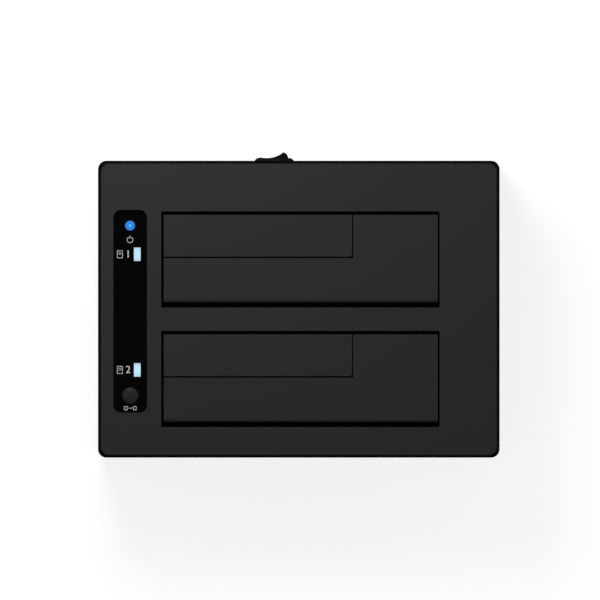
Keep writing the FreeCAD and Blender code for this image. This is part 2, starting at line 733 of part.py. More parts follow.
def make_drive_cage():
    """Inner frame with two drive wells, hinge pin seats, floor slots for the sockets and guide ribs."""
    body = new_body("drive_cage")
    floor_top = "(cage_floor_level + cage_floor)"
    bar(body, "cage_block", (CAGE_LEFT, CAGE_FRONT, "cage_floor_level"),
        (f"{CAGE_RIGHT} - {CAGE_LEFT}", f"{CAGE_BACK} - {CAGE_FRONT}", f"{CAGE_TOP} - cage_floor_level"))
    for bay in BAYS:
        hinge_deep = f"({bay_front(bay)} + {HINGE_IN})"
        for side, across in (("left", f"{CAGE_LEFT} - cage_wall"), ("right", CAGE_RIGHT)):
            bar(body, f"{bay}_{side}_pin_block",
                (across, f"{hinge_deep} - barrel_diameter / 2", f"{HINGE_LEVEL} - barrel_diameter / 2"),
                ("cage_wall", "barrel_diameter", "barrel_diameter"))
        bar(body, f"{bay}_well", (f"{BAY_LEFT} - cage_slack", bay_front(bay), floor_top),
            (f"{BAY_WIDTH} + 2 * cage_slack", f"{BAY_DEPTH} + cage_slack",
             f"{CAGE_TOP} - {floor_top} + cage_gap"), cut=True)
        stud(body, f"{bay}_pin_seats", (f"{CAGE_LEFT} - 2 * cage_wall", hinge_deep, HINGE_LEVEL),
             "flap_pin_diameter / cos(22.5)", f"{CAGE_RIGHT} - {CAGE_LEFT} + 4 * cage_wall",
             cut=True, along="x")
        across, deep = socket_middle(bay)
        bar(body, f"{bay}_socket_slot",
            (f"{across} - socket_length / 2 - socket_clearance",
             f"{deep} - socket_width / 2 - socket_clearance", "cage_floor_level - cage_floor"),
            ("socket_length + 2 * socket_clearance", "socket_width + 2 * socket_clearance",
             "3 * cage_floor"), cut=True)
        for index in range(-2, 3):
            bar(body, f"{bay}_guide_rib_{index + 3}",
                (f"{BAY_MIDDLE} + guide_rib_spacing * {index} - guide_rib / 2", bay_back(bay),
                 "cage_floor_level"),
                ("guide_rib", "cage_slack + cage_wall / 2",
                 f"{HINGE_LEVEL} - guide_rib_start - cage_floor_level"))
    core_front = f"({bay_back('front')} + cage_slack + cage_wall)"
    core_back = f"({bay_front('rear')} - cage_wall)"
    bar(body, "divider_core", (f"{CAGE_LEFT} + cage_wall", core_front, "cage_floor_level - cage_floor"),
        (f"{CAGE_RIGHT} - {CAGE_LEFT} - 2 * cage_wall", f"{core_back} - {core_front}",
         f"{CAGE_TOP} - cage_wall - cage_floor_level + cage_floor"), cut=True)
    for name, across, deep in cage_ears():
        inward = "" if "front" in name else "- cage_wall / 2"
        bar(body, f"{name}_ear",
            (f"{across} - ear_width / 2", f"{deep} - ear_width / 2 {inward}", EAR_UNDER),
            ("ear_width", "ear_width + cage_wall / 2", "ear_height"))
        stud(body, f"{name}_ear_hole", (across, deep, f"{EAR_UNDER} - ear_height"),
             "housing_screw_diameter + 2 * screw_clearance", "3 * ear_height", cut=True)
    return body


def flap_place(bay):
    """Place of a flap's own origin: its hinge axis, at the left edge of the opening."""
    return BAY_LEFT, f"{bay_front(bay)} + {HINGE_IN}", HINGE_LEVEL


def door_place(bay):
    """Place of a small door's own origin: its hinge axis, at the flap's left edge."""
    return (f"{BAY_LEFT} + flap_gap_left", f"{bay_front(bay)} + {HINGE_IN} + {DOOR_AXIS_BACK}",
            f"{HINGE_LEVEL} + {DOOR_AXIS_UP}")


def make_flap(bay):
    """Bay flap: L-shaped skin, rolled front edge on a hinge barrel, rim, stop flange, small door's lugs."""
    body = new_body(f"{bay}_flap", flap_place(bay))
    skin_under = "(hinge_drop - flap_skin)"
    width = f"({FLAP_RIGHT} - flap_gap_left)"
    nose = "(barrel_diameter / 2)"
    full_rim = f"({skin_under} - {FLANGE_UNDER} + flap_skin / 2)"
    notch_front = f"({FLAP_BACK} - door_depth - door_gap)"
    notch_right = "(flap_gap_left + door_width + door_side_gap)"
    lap_right = "(flap_gap_right + flange_lap)"
    lap_left = "(flap_gap_left + flange_lap)"
    lap_rear = "(flap_gap_rear + flange_lap)"
    lug_root_rise = f"({skin_under} + flap_skin / 2 - {DOOR_AXIS_UP})"

    bar(body, "skin", ("flap_gap_left", f"roll_radius - {nose}", skin_under),
        (width, f"{FLAP_BACK} - roll_radius + {nose}", "flap_skin"))
    bar(body, "door_notch", ("0", notch_front, f"{skin_under} - flap_skin"),
        (notch_right, f"{FLAP_BACK} - {notch_front} + flap_gap_rear", "3 * flap_skin"), cut=True)
    rod(body, "rolled_edge", ("flap_gap_left", f"roll_radius - {nose}", "hinge_drop - roll_radius"),
        "2 * roll_radius", width, along="x")
    rod(body, "barrel", ("end_play - cage_slack", "0", "0"), "barrel_diameter",
        f"{BAY_WIDTH} + 2 * (cage_slack - end_play)", along="x")

    bar(body, "left_rim", ("flap_gap_left", "0", FLANGE_UNDER), ("rim_wall", notch_front, full_rim))
    bar(body, "left_flange", (f"flap_gap_left - {lap_left}", "flange_start", FLANGE_UNDER),
        (f"{lap_left} + rim_wall / 2", f"{notch_front} - flange_start", "flange_thickness"))
    bar(body, "right_rim", (f"{FLAP_RIGHT} - rim_wall", "0", FLANGE_UNDER), ("rim_wall", FLAP_BACK, full_rim))
    bar(body, "right_flange", (f"{FLAP_RIGHT} - rim_wall / 2", "flange_start", FLANGE_UNDER),
        (f"{lap_right} + rim_wall / 2", f"{FLAP_BACK} + {lap_rear} - flange_start", "flange_thickness"))
    rear_start = f"({notch_right} + notch_rib_back)"
    bar(body, "rear_rim", (rear_start, f"{FLAP_BACK} - rim_wall", FLANGE_UNDER),
        (f"{FLAP_RIGHT} - {rear_start}", "rim_wall", full_rim))
    bar(body, "rear_flange", (rear_start, f"{FLAP_BACK} - rim_wall / 2", FLANGE_UNDER),
        (f"{FLAP_RIGHT} - {rear_start}", f"{lap_rear} + rim_wall / 2", "flange_thickness"))
    bar(body, "notch_rib", (rear_start, "0", FLANGE_UNDER), ("rim_wall", FLAP_BACK, full_rim))

    for side, across in lug_places():
        lug_corner = f"{DOOR_AXIS_BACK} - lug_reach"
        bar(body, f"{side}_lug", (across, lug_corner, f"{DOOR_AXIS_UP} - knuckle_diameter / 2"),
            ("lug_length", "lug_reach", "knuckle_diameter"))
        bar(body, f"{side}_lug_root", (across, lug_corner, DOOR_AXIS_UP),
            ("lug_length", f"{notch_front} - {DOOR_AXIS_BACK} + lug_reach", lug_root_rise))
        stud(body, f"{side}_lug_eye", (across, DOOR_AXIS_BACK, DOOR_AXIS_UP), "knuckle_diameter",
             "lug_length", along="x")
        stud(body, f"{side}_lug_bore", (f"{across} - lug_length / 4", DOOR_AXIS_BACK, DOOR_AXIS_UP),
             "door_pin_diameter / cos(22.5)", "lug_length * 3 / 2", cut=True, along="x")

    rod(body, "pin_bore", ("-cage_slack", "0", "0"), "flap_pin_diameter + 2 * running_clearance",
        f"{BAY_WIDTH} + 2 * cage_slack", cut=True, along="x")
    window = "2 * roll_radius + spring_window_half"
    bar(body, "spring_window", ("spring_window_start", "-2 * roll_radius", "-2 * roll_radius"),
        ("spring_window_width", window, window), cut=True)
    return body


def lug_places():
    """Low ends, across the flap, of the two lugs that carry a small door's pin."""
    yield "left", "(flap_gap_left + knuckle_inset + knuckle_length + knuckle_play)"
    inward = "knuckle_inset - knuckle_length - knuckle_play - lug_length"
    yield "right", f"(flap_gap_left + door_width - {inward})"


def make_small_door(bay):
    """2.5-inch door set in the flap: skin, rim, stop flanges and two hinge knuckles."""
    body = new_body(f"{bay}_small_door", door_place(bay))
    front = "(-door_axis_back)"
    back = "(door_depth - door_axis_back)"
    skin_under = "(door_axis_drop - door_skin)"
    flange_under = f"({FLANGE_UNDER} - {DOOR_AXIS_UP})"
    rim_depth = f"({skin_under} - {flange_under} + door_skin / 2)"
    lap_rear = "(flap_gap_rear + flange_lap)"
    lap_left = "(flap_gap_left + flange_lap)"
    lap_right = "(door_side_gap + lip_lap)"
    flap_skin_under = f"(hinge_drop - flap_skin - {DOOR_AXIS_UP})"

    bar(body, "skin", ("0", front, skin_under), ("door_width", "door_depth", "door_skin"))
    half = SIZES["door_width"] / 2
    soften(body, "front_right_corner", "door_corner_radius",
           lambda edge: upright(edge) and edge.BoundBox.XMin > half and edge.BoundBox.YMax < 0)
    rim_front = "knuckle_diameter"
    bar(body, "left_rim", ("0", rim_front, flange_under), ("rim_wall", f"{back} - {rim_front}", rim_depth))
    bar(body, "right_rim", ("door_width - rim_wall", rim_front, flange_under),
        ("rim_wall", f"{back} - {rim_front}", rim_depth))
    bar(body, "rear_rim", ("0", f"{back} - rim_wall", flange_under), ("door_width", "rim_wall", rim_depth))
    bar(body, "rear_flange", ("0", f"{back} - rim_wall / 2", flange_under),
        ("door_width", f"{lap_rear} + rim_wall / 2", "flange_thickness"))
    bar(body, "left_flange", (f"-{lap_left}", rim_front, flange_under),
        (f"{lap_left} + rim_wall / 2", f"{back} + {lap_rear} - {rim_front}", "flange_thickness"))
    bar(body, "right_lip", ("door_width - rim_wall / 2", rim_front,
                            f"{flap_skin_under} - flange_gap - flange_thickness"),
        (f"{lap_right} + rim_wall / 2", f"{back} - {rim_front}", "flange_thickness"))
    places = (("left", "knuckle_inset"), ("right", "(door_width - knuckle_inset - knuckle_length)"))
    for side, across in places:
        stud(body, f"{side}_knuckle", (across, "0", "0"), "knuckle_diameter", "knuckle_length", along="x")
        bar(body, f"{side}_knuckle_web", (across, front, "0"),
            ("knuckle_length", "door_axis_back + knuckle_diameter / 2", f"{skin_under} + door_skin / 2"))
    rod(body, "pin_bore", ("0", "0", "0"), "door_pin_diameter + 2 * running_clearance", "door_width",
        cut=True, along="x")
    return body


def make_pins(bay):
    """Steel hinge pins of a flap and of its small door."""
    flap_pin = new_body(f"{bay}_flap_pin", flap_place(bay))
    rod(flap_pin, "pin", ("-cage_slack - 2 * cage_wall", "0", "0"), "flap_pin_diameter",
        f"{BAY_WIDTH} + 2 * cage_slack + 4 * cage_wall", along="x")
    door_pin = new_body(f"{bay}_door_pin", door_place(bay))
    rod(door_pin, "pin", ("knuckle_inset", "0", "0"), "door_pin_diameter", "door_width - 2 * knuckle_inset",
        along="x")
    return [flap_pin, door_pin]


def coil_sections(inner, wire, pitch, turns, side, leg):
    """Corners of the wire's square section at the leg's tip and at each eighth of a turn of a spring."""
    sections = []
    for step in range(8 * turns + 1):
        angle = math.radians(side * (90 - 45 * step))
        start = pitch * step / 8
        sections.append([
            FreeCAD.Vector(start + shift, radius * math.cos(angle), radius * math.sin(angle))
            for shift, radius in ((0, inner), (wire, inner), (wire, inner + wire), (0, inner + wire))])
    tip = [corner - FreeCAD.Vector(0, leg, 0) for corner in sections[0]]
    return [tip, *sections]


def make_spring(label, place, start, kind, pin, leg, side):
    """Torsion spring about a pin along X, its wire square and its coil eight-sided.

    One straight leg runs forward by leg, over the pin where side is 1 and under it where it is -1.
    """
    names = ("wire", "pitch", "turns", "slack")
    wire, pitch, turns, slack = (SHEET.get(f"{kind}_spring_{name}") for name in names)
    sections = coil_sections(SHEET.get(pin) / 2 + slack, wire, pitch, int(turns), side, leg)
    faces = [Part.Face(Part.makePolygon(end + end[:1])) for end in (sections[0], sections[-1])]
    for low, high in zip(sections, sections[1:]):
        for index in range(4):
            after = (index + 1) % 4
            for corner in ((low[index], low[after], high[after]), (low[index], high[after], high[index])):
                faces.append(Part.Face(Part.makePolygon([*corner, corner[0]])))
    shell = Part.makeShell(faces)
    shell.sewShape()
    spring = DOC.addObject("Part::Feature", label)
    spring.Label = label
    solid = Part.makeSolid(shell)
    spring.Shape = (solid if solid.Volume > 0 else solid.reversed()).removeSplitter()
    across, deep, level = place
    for axis, formula in zip("xyz", (f"{across} + {start}", deep, level)):
        spring.setExpression(f"Placement.Base.{axis}", linked(formula))
    return spring


def make_springs(bay):
    """Springs that shut a flap and its small door."""
    window_middle = "spring_window_start + spring_window_width / 2"
    reach = SHEET.get("flap_gap_front") + SHEET.get("barrel_diameter") / 2
    return [
        make_spring(f"{bay}_flap_spring", flap_place(bay),
                    f"{window_middle} - (flap_spring_pitch * flap_spring_turns + flap_spring_wire) / 2",
                    "flap", "flap_pin_diameter", reach, -1),
        make_spring(f"{bay}_door_spring", door_place(bay),
                    "knuckle_inset + knuckle_length + knuckle_play + lug_length",
                    "door", "door_pin_diameter", SHEET.get("lug_reach"), 1),
    ]


# ---------------------------------------------------------------- control strip

def make_control_strip():
    """Glossy strip let into the cover, with holes for the lights and the button."""
    body = new_body("control_strip")
    bar(body, "plate", (f"{STRIP_ACROSS} - strip_width / 2", STRIP_FRONT, STRIP_FLOOR),
        ("strip_width", STRIP_LENGTH, "strip_thickness"))
    soften(body, "corners", "strip_radius", upright)
    cut_light_holes(body, f"{STRIP_FLOOR} - strip_thickness", "3 * strip_thickness", rod)
    return body


def make_lights():
    """Power light lens and one light window for each bay, down to just above their LEDs."""
    foot = f"({INDICATOR_TOP} + led_body_height + led_air_gap)"
    height = f"{TOP} - strip_drop + light_stand - {foot}"
    lens = new_body("power_light", (*LED_PLACE, foot))
    rod(lens, "lens", ("0", "0", "0"), "led_diameter", height)
    lights = [lens]
    for bay in BAYS:
        across, deep = window_place(bay)
        corner = (f"{across} - window_width / 2", f"{deep} - window_length / 2", foot)
        window = new_body(f"{bay}_bay_light", corner)
        bar(window, "pipe", ("0", "0", "0"), ("window_width", "window_length", height))
        lights.append(window)
    return lights


def make_clone_button():
    """Round button with an eased edge, held in by a square flange under the cover."""
    body = new_body("clone_button", (*BUTTON_PLACE, f"{PLATE_UNDER} - button_flange_height"))
    rise = f"({TOP} - strip_drop + button_stand - {PLATE_UNDER} + button_flange_height)"
    half = "-(button_diameter / 2 + button_flange)"
    side = "button_diameter + 2 * button_flange"
    bar(body, "flange", (half, half, "0"), (side, side, "button_flange_height"))
    rod(body, "cap", ("0", "0", "0"), "button_diameter", rise)
    soften(body, "cap_edge", "button_edge", level_with(body, max), "PartDesign::Chamfer")
    return body


def make_indicator_parts():
    """Indicator board under the strip, with its LEDs, the clone switch and its plunger."""
    board = new_body("indicator_board")
    bar(board, "board",
        (f"{STRIP_ACROSS} - indicator_width / 2", f"{STRIP_FRONT} + indicator_margin", INDICATOR_UNDER),
        ("indicator_width", f"{STRIP_LENGTH} - 2 * indicator_margin", "indicator_thickness"))
    for name in ("rear", "front"):
        under = f"{INDICATOR_UNDER} - indicator_thickness"
        stud(board, f"{name}_hole", (STRIP_ACROSS, f"indicator_screw_{name}", under),
             "small_screw_diameter + 2 * running_clearance", "3 * indicator_thickness", cut=True)
    leds = [
        box(f"{name}_led", (f"{across} - led_body / 2", f"{deep} - led_body / 2", INDICATOR_TOP),
            ("led_body", "led_body", "led_body_height"))
        for name, (across, deep) in (("power", LED_PLACE), ("rear_bay", window_place("rear")),
                                     ("front_bay", window_place("front")))]
    across, deep = BUTTON_PLACE
    switch = new_body("clone_switch")
    bar(switch, "case", (f"{across} - tact_width / 2", f"{deep} - tact_width / 2", INDICATOR_TOP),
        ("tact_width", "tact_width", "tact_height"))
    well_depth = "(plunger_depth + button_travel + plunger_clearance)"
    stud(switch, "plunger_well", (across, deep, f"{INDICATOR_TOP} + tact_height - {well_depth}"),
         "plunger_diameter + 2 * plunger_clearance", f"{well_depth} + tact_height", cut=True)
    plunger_foot = f"({INDICATOR_TOP} + tact_height - plunger_depth)"
    plunger = new_body("switch_plunger", (across, deep, plunger_foot))
    stud(plunger, "stem", ("0", "0", "0"), "plunger_diameter",
         f"{PLATE_UNDER} - button_flange_height - {plunger_foot}")
    return [board, group("indicator_leds", leds), switch, plunger]


# ---------------------------------------------------------------- main board

def make_main_board():
    """Main circuit board on the tray's standoffs."""
    body = new_body("main_board")
    bar(body, "board", (f"-{BOARD_HALF}", BOARD_FRONT, BOARD_UNDER),
        (f"2 * {BOARD_HALF}", f"{BOARD_REAR} - {BOARD_FRONT}", "board_thickness"))
    for name, across, deep in board_corners():
        stud(body, f"{name}_hole", (across, deep, f"{BOARD_UNDER} - board_thickness"),
             "board_screw_diameter + 2 * running_clearance", "3 * board_thickness", cut=True)
    return body


def make_drive_socket(bay):
    """22-pin drive socket standing on the board: a data slot and a power slot, each with its key."""
    across, deep = socket_middle(bay)
    body = new_body(f"{bay}_drive_socket", (across, deep, BOARD_TOP))
    bar(body, "case", ("-socket_length / 2", "-socket_width / 2", "0"),
        ("socket_length", "socket_width", "socket_height"))
    slots = "(data_slot_length + slot_bridge + power_slot_length)"
    slot_foot = "(socket_height - socket_slot_depth)"
    for name, start in (("data", f"-{slots} / 2"), ("power", f"{slots} / 2 - power_slot_length")):
        bar(body, f"{name}_slot", (start, "-socket_slot_width / 2", slot_foot),
            (f"{name}_slot_length", "socket_slot_width", "2 * socket_slot_depth"), cut=True)
        bar(body, f"{name}_key", (start, "-socket_slot_width / 2", slot_foot),
            ("slot_key", "socket_slot_width + slot_key", "2 * socket_slot_depth"), cut=True)
    return body


def make_usb_socket():
    """USB type-B socket: stepped mouth in a metal shell, with the contact tongues as their own piece."""
    front = f"({REAR_FACE} - connector_setback)"
    shell = new_body("usb_shell", ("usb_across", f"{front} - usb_length", BOARD_TOP))
    mouth = "(usb_length - usb_mouth_depth)"
    bar(shell, "case", ("-usb_width / 2", "0", "0"), ("usb_width", "usb_length", "usb_height"))
    bar(shell, "mouth", ("-usb_mouth_width / 2", mouth, "usb_floor"),
        ("usb_mouth_width", "2 * usb_mouth_depth", "usb_mouth_height"), cut=True, along="y")
    bar(shell, "mouth_step", ("-usb_step_width / 2", mouth, "usb_floor"),
        ("usb_step_width", "2 * usb_mouth_depth", "usb_mouth_height + usb_step_height"), cut=True, along="y")
    tongue = new_body("usb_tongue", ("usb_across", f"{front} - usb_mouth_depth", BOARD_TOP))
    bar(tongue, "tongue", ("-usb_tongue_width / 2", "0",
                           "usb_floor + usb_mouth_height / 2 - usb_tongue_height / 2"),
        ("usb_tongue_width", "usb_tongue_length", "usb_tongue_height"))
    return [shell, tongue]


def make_power_jack():
    """Round DC jack and its centre pin."""
    front = f"({REAR_FACE} - connector_setback)"
    case = new_body("power_jack", ("jack_across", f"{front} - jack_length", BOARD_TOP))
    bar(case, "case", ("-jack_width / 2", "0", "0"), ("jack_width", "jack_length", "jack_height"))
    rod(case, "bore", ("0", "jack_length - jack_depth", "jack_height / 2"), "jack_bore", "2 * jack_depth",
        cut=True, along="y")
    pin = new_body("jack_pin", ("jack_across", f"{front} - jack_depth", f"{BOARD_TOP} + jack_height / 2"))
    rod(pin, "pin", ("0", "0", "0"), "jack_pin_diameter", "jack_pin_length", along="y")
    return [case, pin]


def make_board_parts():
    """Chips, capacitors, chokes, crystal and cable headers of the main board."""
    chips = [
        box(f"{bay}_chip",
            ("-chip_width / 2", f"{bay_front(bay)} + {BAY_DEPTH} / 3 - chip_width / 2", BOARD_TOP),
            ("chip_width", "chip_width", "chip_height"))
        for bay in BAYS]
    beside = f"({CAGE_RIGHT} + capacitor_diameter / 2 + capacitor_gap)"
    capacitors = [
        cylinder(f"capacitor_{index + 1}",
                 (beside, f"capacitor_start - capacitor_pitch * {index}", BOARD_TOP),
                 "capacitor_diameter", "capacitor_height")
        for index in range(2)]
    behind = f"({CAGE_BACK} + choke_width / 2 + capacitor_gap)"
    chokes = [
        box(f"choke_{index + 1}", (f"choke_start - choke_pitch * {index} - choke_width / 2",
                                   f"{behind} - choke_width / 2", BOARD_TOP),
            ("choke_width", "choke_width", "choke_height"))
        for index in range(2)]
    crystal = box("crystal", ("crystal_across", bay_front("rear"), BOARD_TOP),
                  ("crystal_length", "crystal_width", "crystal_height"))
    return [group("bridge_chips", chips), group("capacitors", capacitors), group("power_chokes", chokes),
            crystal]


def make_indicator_cable():
    """Flat cable between the two boards, and the header at each end of it."""
    across = "(cable_inset - case_width / 2)"
    headers = [
        box("board_header", (f"{across} - header_width / 2", "-header_length / 2", BOARD_TOP),
            ("header_width", "header_length", "header_height")),
        box("strip_header", (f"{across} - header_width / 2", "-header_length / 2",
                             f"{INDICATOR_UNDER} - header_height"),
            ("header_width", "header_length", "header_height"))]
    cable = box("indicator_cable", (f"{across} - cable_thickness / 2", "-cable_width / 2",
                                    f"{BOARD_TOP} + header_height"),
                ("cable_thickness", "cable_width",
                 f"{INDICATOR_UNDER} - {BOARD_TOP} - 2 * header_height"))
    return [group("cable_headers", headers), cable]


# ---------------------------------------------------------------- power rocker

def switch_face():
    """Level of the rear wall's surface where the switch's bezel bears on it."""
    return f"({REAR_FACE} - tan(wall_draft) * (rocker_level - bezel_height / 2 - {BOSS_FOOT}))"


def make_rocker_switch():
    """Switch body behind the rear wall, its sloped bezel, and the window that the rocker sits in."""
    body = new_body("rocker_switch", ("rocker_across", REAR_FACE, "rocker_level"))
    face = f"({switch_face()} - {REAR_FACE})"
    bar(body, "case", ("-switch_length / 2", "-switch_depth", "-switch_height / 2"),
        ("switch_length", f"switch_depth + {face} + bezel_stand / 4", "switch_height"), along="y")
    bar(body, "bezel", ("-bezel_length / 2", face, "-bezel_height / 2"),
        ("bezel_length", f"bezel_stand - {face}", "bezel_height"), along="y")
    soften(body, "bezel_slope", "bezel_slope",
           lambda edge: edge.BoundBox.YMin > 0.5 * SIZES["bezel_stand"] and edge.BoundBox.YLength < 1e-4,
           "PartDesign::Chamfer")
    bar(body, "window",
        ("-switch_window_length / 2", "bezel_stand - switch_window_depth", "-switch_window_height / 2"),
        ("switch_window_length", "2 * switch_window_depth", "switch_window_height"), cut=True, along="y")
    hole_reach = "(rocker_height / 2 + trunnion_length + running_clearance)"
    stud(body, "trunnion_holes", ("0", "-rocker_pivot_depth", f"-{hole_reach}"),
         "(trunnion_diameter + 2 * running_clearance) / cos(22.5)", f"2 * {hole_reach}", cut=True)
    return body


def make_rocker():
    """Rocker cap: hollowed top between two raised ends, leaning to one side, on two trunnions."""
    body = new_body("power_rocker", ("rocker_across", ROCKER_PIVOT, "rocker_level"))
    body.setExpression("Placement.Rotation.Angle", linked("rocker_lean"))
    body.Placement.Rotation.Axis = FreeCAD.Vector(0, 0, 1)
    sketch = new_sketch(body, "profile", "z", ("0", "0", "-rocker_height / 2"))
    points = [(4.7, 4.7), (6.0, 2.1), (2.6, -1.8), (-2.6, -1.8), (-6.0, 2.1), (-4.7, 4.7)]
    for start, end in zip(points, points[1:]):
        sketch.addGeometry(Part.LineSegment(FreeCAD.Vector(*start, 0), FreeCAD.Vector(*end, 0)))
    hollow = Part.Circle(FreeCAD.Vector(0, 14.1, 0), FreeCAD.Vector(0, 0, 1), 10.5)
    sketch.addGeometry(Part.ArcOfCircle(hollow, math.radians(243.4), math.radians(296.6)))
    for index in range(4):
        fix(sketch, "Coincident", index, 2, index + 1, 1)
    fix(sketch, "Coincident", 5, 1, 4, 2)
    fix(sketch, "Coincident", 5, 2, 0, 1)
    for left, right in (((4, 2), (0, 1)), ((3, 2), (0, 2)), ((2, 2), (1, 2))):
        fix(sketch, "Symmetric", *left, *right, -2)
    for edge, end, reach, stand in ((0, 1, "tip", "tip"), (0, 2, "shoulder", "shoulder")):
        fix(sketch, "DistanceX", -1, 1, edge, end, size=f"rocker_{reach}_reach")
        fix(sketch, "DistanceY", -1, 1, edge, end, size=f"rocker_{stand}_stand")
    fix(sketch, "DistanceX", -1, 1, 1, 2, size="rocker_heel_reach")
    fix(sketch, "DistanceY", 1, 2, -1, 1, size="rocker_heel_depth")
    fix(sketch, "DistanceY", -1, 1, 5, 3,
        size="rocker_tip_stand + sqrt(rocker_hollow_radius ^ 2 - rocker_tip_reach ^ 2)")
    extrude(body, "cap", sketch, "z", "rocker_height")
    rod(body, "trunnions", ("0", "0", "-rocker_height / 2 - trunnion_length"), "trunnion_diameter",
        "rocker_height + 2 * trunnion_length")
    return body


def make_terminals_and_leads():
    """Blade terminals of the rocker switch, its leads and their header on the board."""
    blade_back = f"({REAR_FACE} - switch_depth)"
    blades, leads = [], []
    for name, side in (("left", -1), ("right", 1)):
        across = f"(rocker_across + {side} * terminal_spacing / 2)"
        blades.append(box(f"{name}_blade",
                          (f"{across} - terminal_thickness / 2", f"{blade_back} - terminal_length",
                           "rocker_level - terminal_width / 2"),
                          ("terminal_thickness", "terminal_length", "terminal_width")))
        leads.append(box(f"{name}_lead",
                         (f"{across} - lead_width / 2", f"{blade_back} - terminal_length",
                          f"{BOARD_TOP} + header_height"),
                         ("lead_width", "lead_width",
                          f"rocker_level - terminal_width / 2 - {BOARD_TOP} - header_height")))
    header = box("switch_header",
                 ("rocker_across - header_length / 2",
                  f"{blade_back} - terminal_length + (lead_width - header_width) / 2", BOARD_TOP),
                 ("header_length", "header_width", "header_height"))
    return [group("switch_terminals", blades), group("switch_leads", leads), header]


def build():
    """All sub-parts, in the order of assembly."""
    parts = [make_base_tray(), make_feet(), make_top_cover(), make_drive_cage(), *make_screws()]
    for bay in BAYS:
        parts += [make_flap(bay), make_small_door(bay), *make_pins(bay), *make_springs(bay)]
        parts.append(make_drive_socket(bay))
    parts += [make_control_strip(), *make_lights(), make_clone_button(), *make_indicator_parts()]
    parts += [make_main_board(), *make_usb_socket(), *make_power_jack(), *make_board_parts()]
    parts += [*make_indicator_cable(), make_rocker_switch(), make_rocker(), *make_terminals_and_leads()]
    return parts


def check_and_write(parts):
    """Stops on any failed feature or shape, then writes one STEP file for each sub-part."""
    DOC.recompute()
    failed = [item.Label for item in DOC.Objects if "Invalid" in item.State or "Error" in item.State]
    failed += [part.Label for part in parts if part.Shape.isNull() or not part.Shape.isValid()]
    if failed:
        raise SystemExit(f"failed: {sorted(set(failed))}")
    os.makedirs("parts", exist_ok=True)
    for part in parts:
        part.Shape.exportStep(f"parts/{part.Label}.step")
    print(f"{len(parts)} sub-parts written")


check_and_write(build())
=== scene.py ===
"""Looks of a two-bay drive duplicator: finishes, marks, springs, screws, light and camera.

Frame: metres, +X right, +Y rear, +Z up, the origin on the table under the middle of the housing.
"""

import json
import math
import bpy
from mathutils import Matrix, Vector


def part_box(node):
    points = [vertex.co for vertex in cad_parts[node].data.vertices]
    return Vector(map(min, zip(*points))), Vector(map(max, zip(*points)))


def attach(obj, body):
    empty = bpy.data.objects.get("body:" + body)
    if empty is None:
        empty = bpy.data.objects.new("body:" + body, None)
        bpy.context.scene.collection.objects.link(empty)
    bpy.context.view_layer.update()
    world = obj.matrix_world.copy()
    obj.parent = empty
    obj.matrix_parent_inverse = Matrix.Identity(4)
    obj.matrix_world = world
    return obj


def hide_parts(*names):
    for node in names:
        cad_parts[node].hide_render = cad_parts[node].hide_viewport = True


bl_info = {
    "name": "Drive Duplicator Looks",
    "version": (1, 0, 0),
    "blender": (4, 5, 0),
    "location": "View3D > Sidebar > Duplicator",
    "description": "Finishes and small visible pieces of a desktop drive duplicator",
    "category": "Object",
}

import bmesh
import bpy
from mathutils import Matrix, Vector

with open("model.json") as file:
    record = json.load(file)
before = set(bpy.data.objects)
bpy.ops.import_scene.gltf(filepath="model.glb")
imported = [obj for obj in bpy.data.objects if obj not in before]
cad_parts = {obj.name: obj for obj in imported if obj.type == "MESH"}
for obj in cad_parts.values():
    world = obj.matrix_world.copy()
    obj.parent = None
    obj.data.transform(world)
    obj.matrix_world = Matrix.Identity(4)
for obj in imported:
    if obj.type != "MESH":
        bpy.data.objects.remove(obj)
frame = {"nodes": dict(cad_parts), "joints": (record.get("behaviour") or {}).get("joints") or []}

MM = 0.001
BAYS = ("rear", "front")
# Vertices closer together than this are one.
TOUCHING = 0.001 * MM
# An edge that turns by more than this gets a moulding radius.
SHARP_EDGE = math.radians(32)


def linear(hex_colour):
    """Linear RGBA of an sRGB colour written as #RRGGBB."""
    levels = [int(hex_colour[start:start + 2], 16) / 255 for start in (1, 3, 5)]
    return tuple(level / 12.92 if level <= 0.04045 else ((level + 0.055) / 1.055) ** 2.4
                 for level in levels) + (1.0,)


def middle(node):
    """Middle of a CAD node's box."""
    low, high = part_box(node)
    return (low + high) / 2


def size_of(node):
    """Size of a CAD node's box."""
    low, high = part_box(node)
    return high - low


# ---------------------------------------------------------------- sizes and colours

def length(name, description, millimetres):
    """A length setting with its default in millimetres."""
    return bpy.props.FloatProperty(name=name, description=description, default=millimetres * MM,
                                   unit="LENGTH", precision=5)


def colour(name, description, hex_colour):
    """A colour setting with its default as #RRGGBB."""
    return bpy.props.FloatVectorProperty(name=name, description=description, subtype="COLOR",
                                         size=4, min=0, max=1, default=linear(hex_colour))


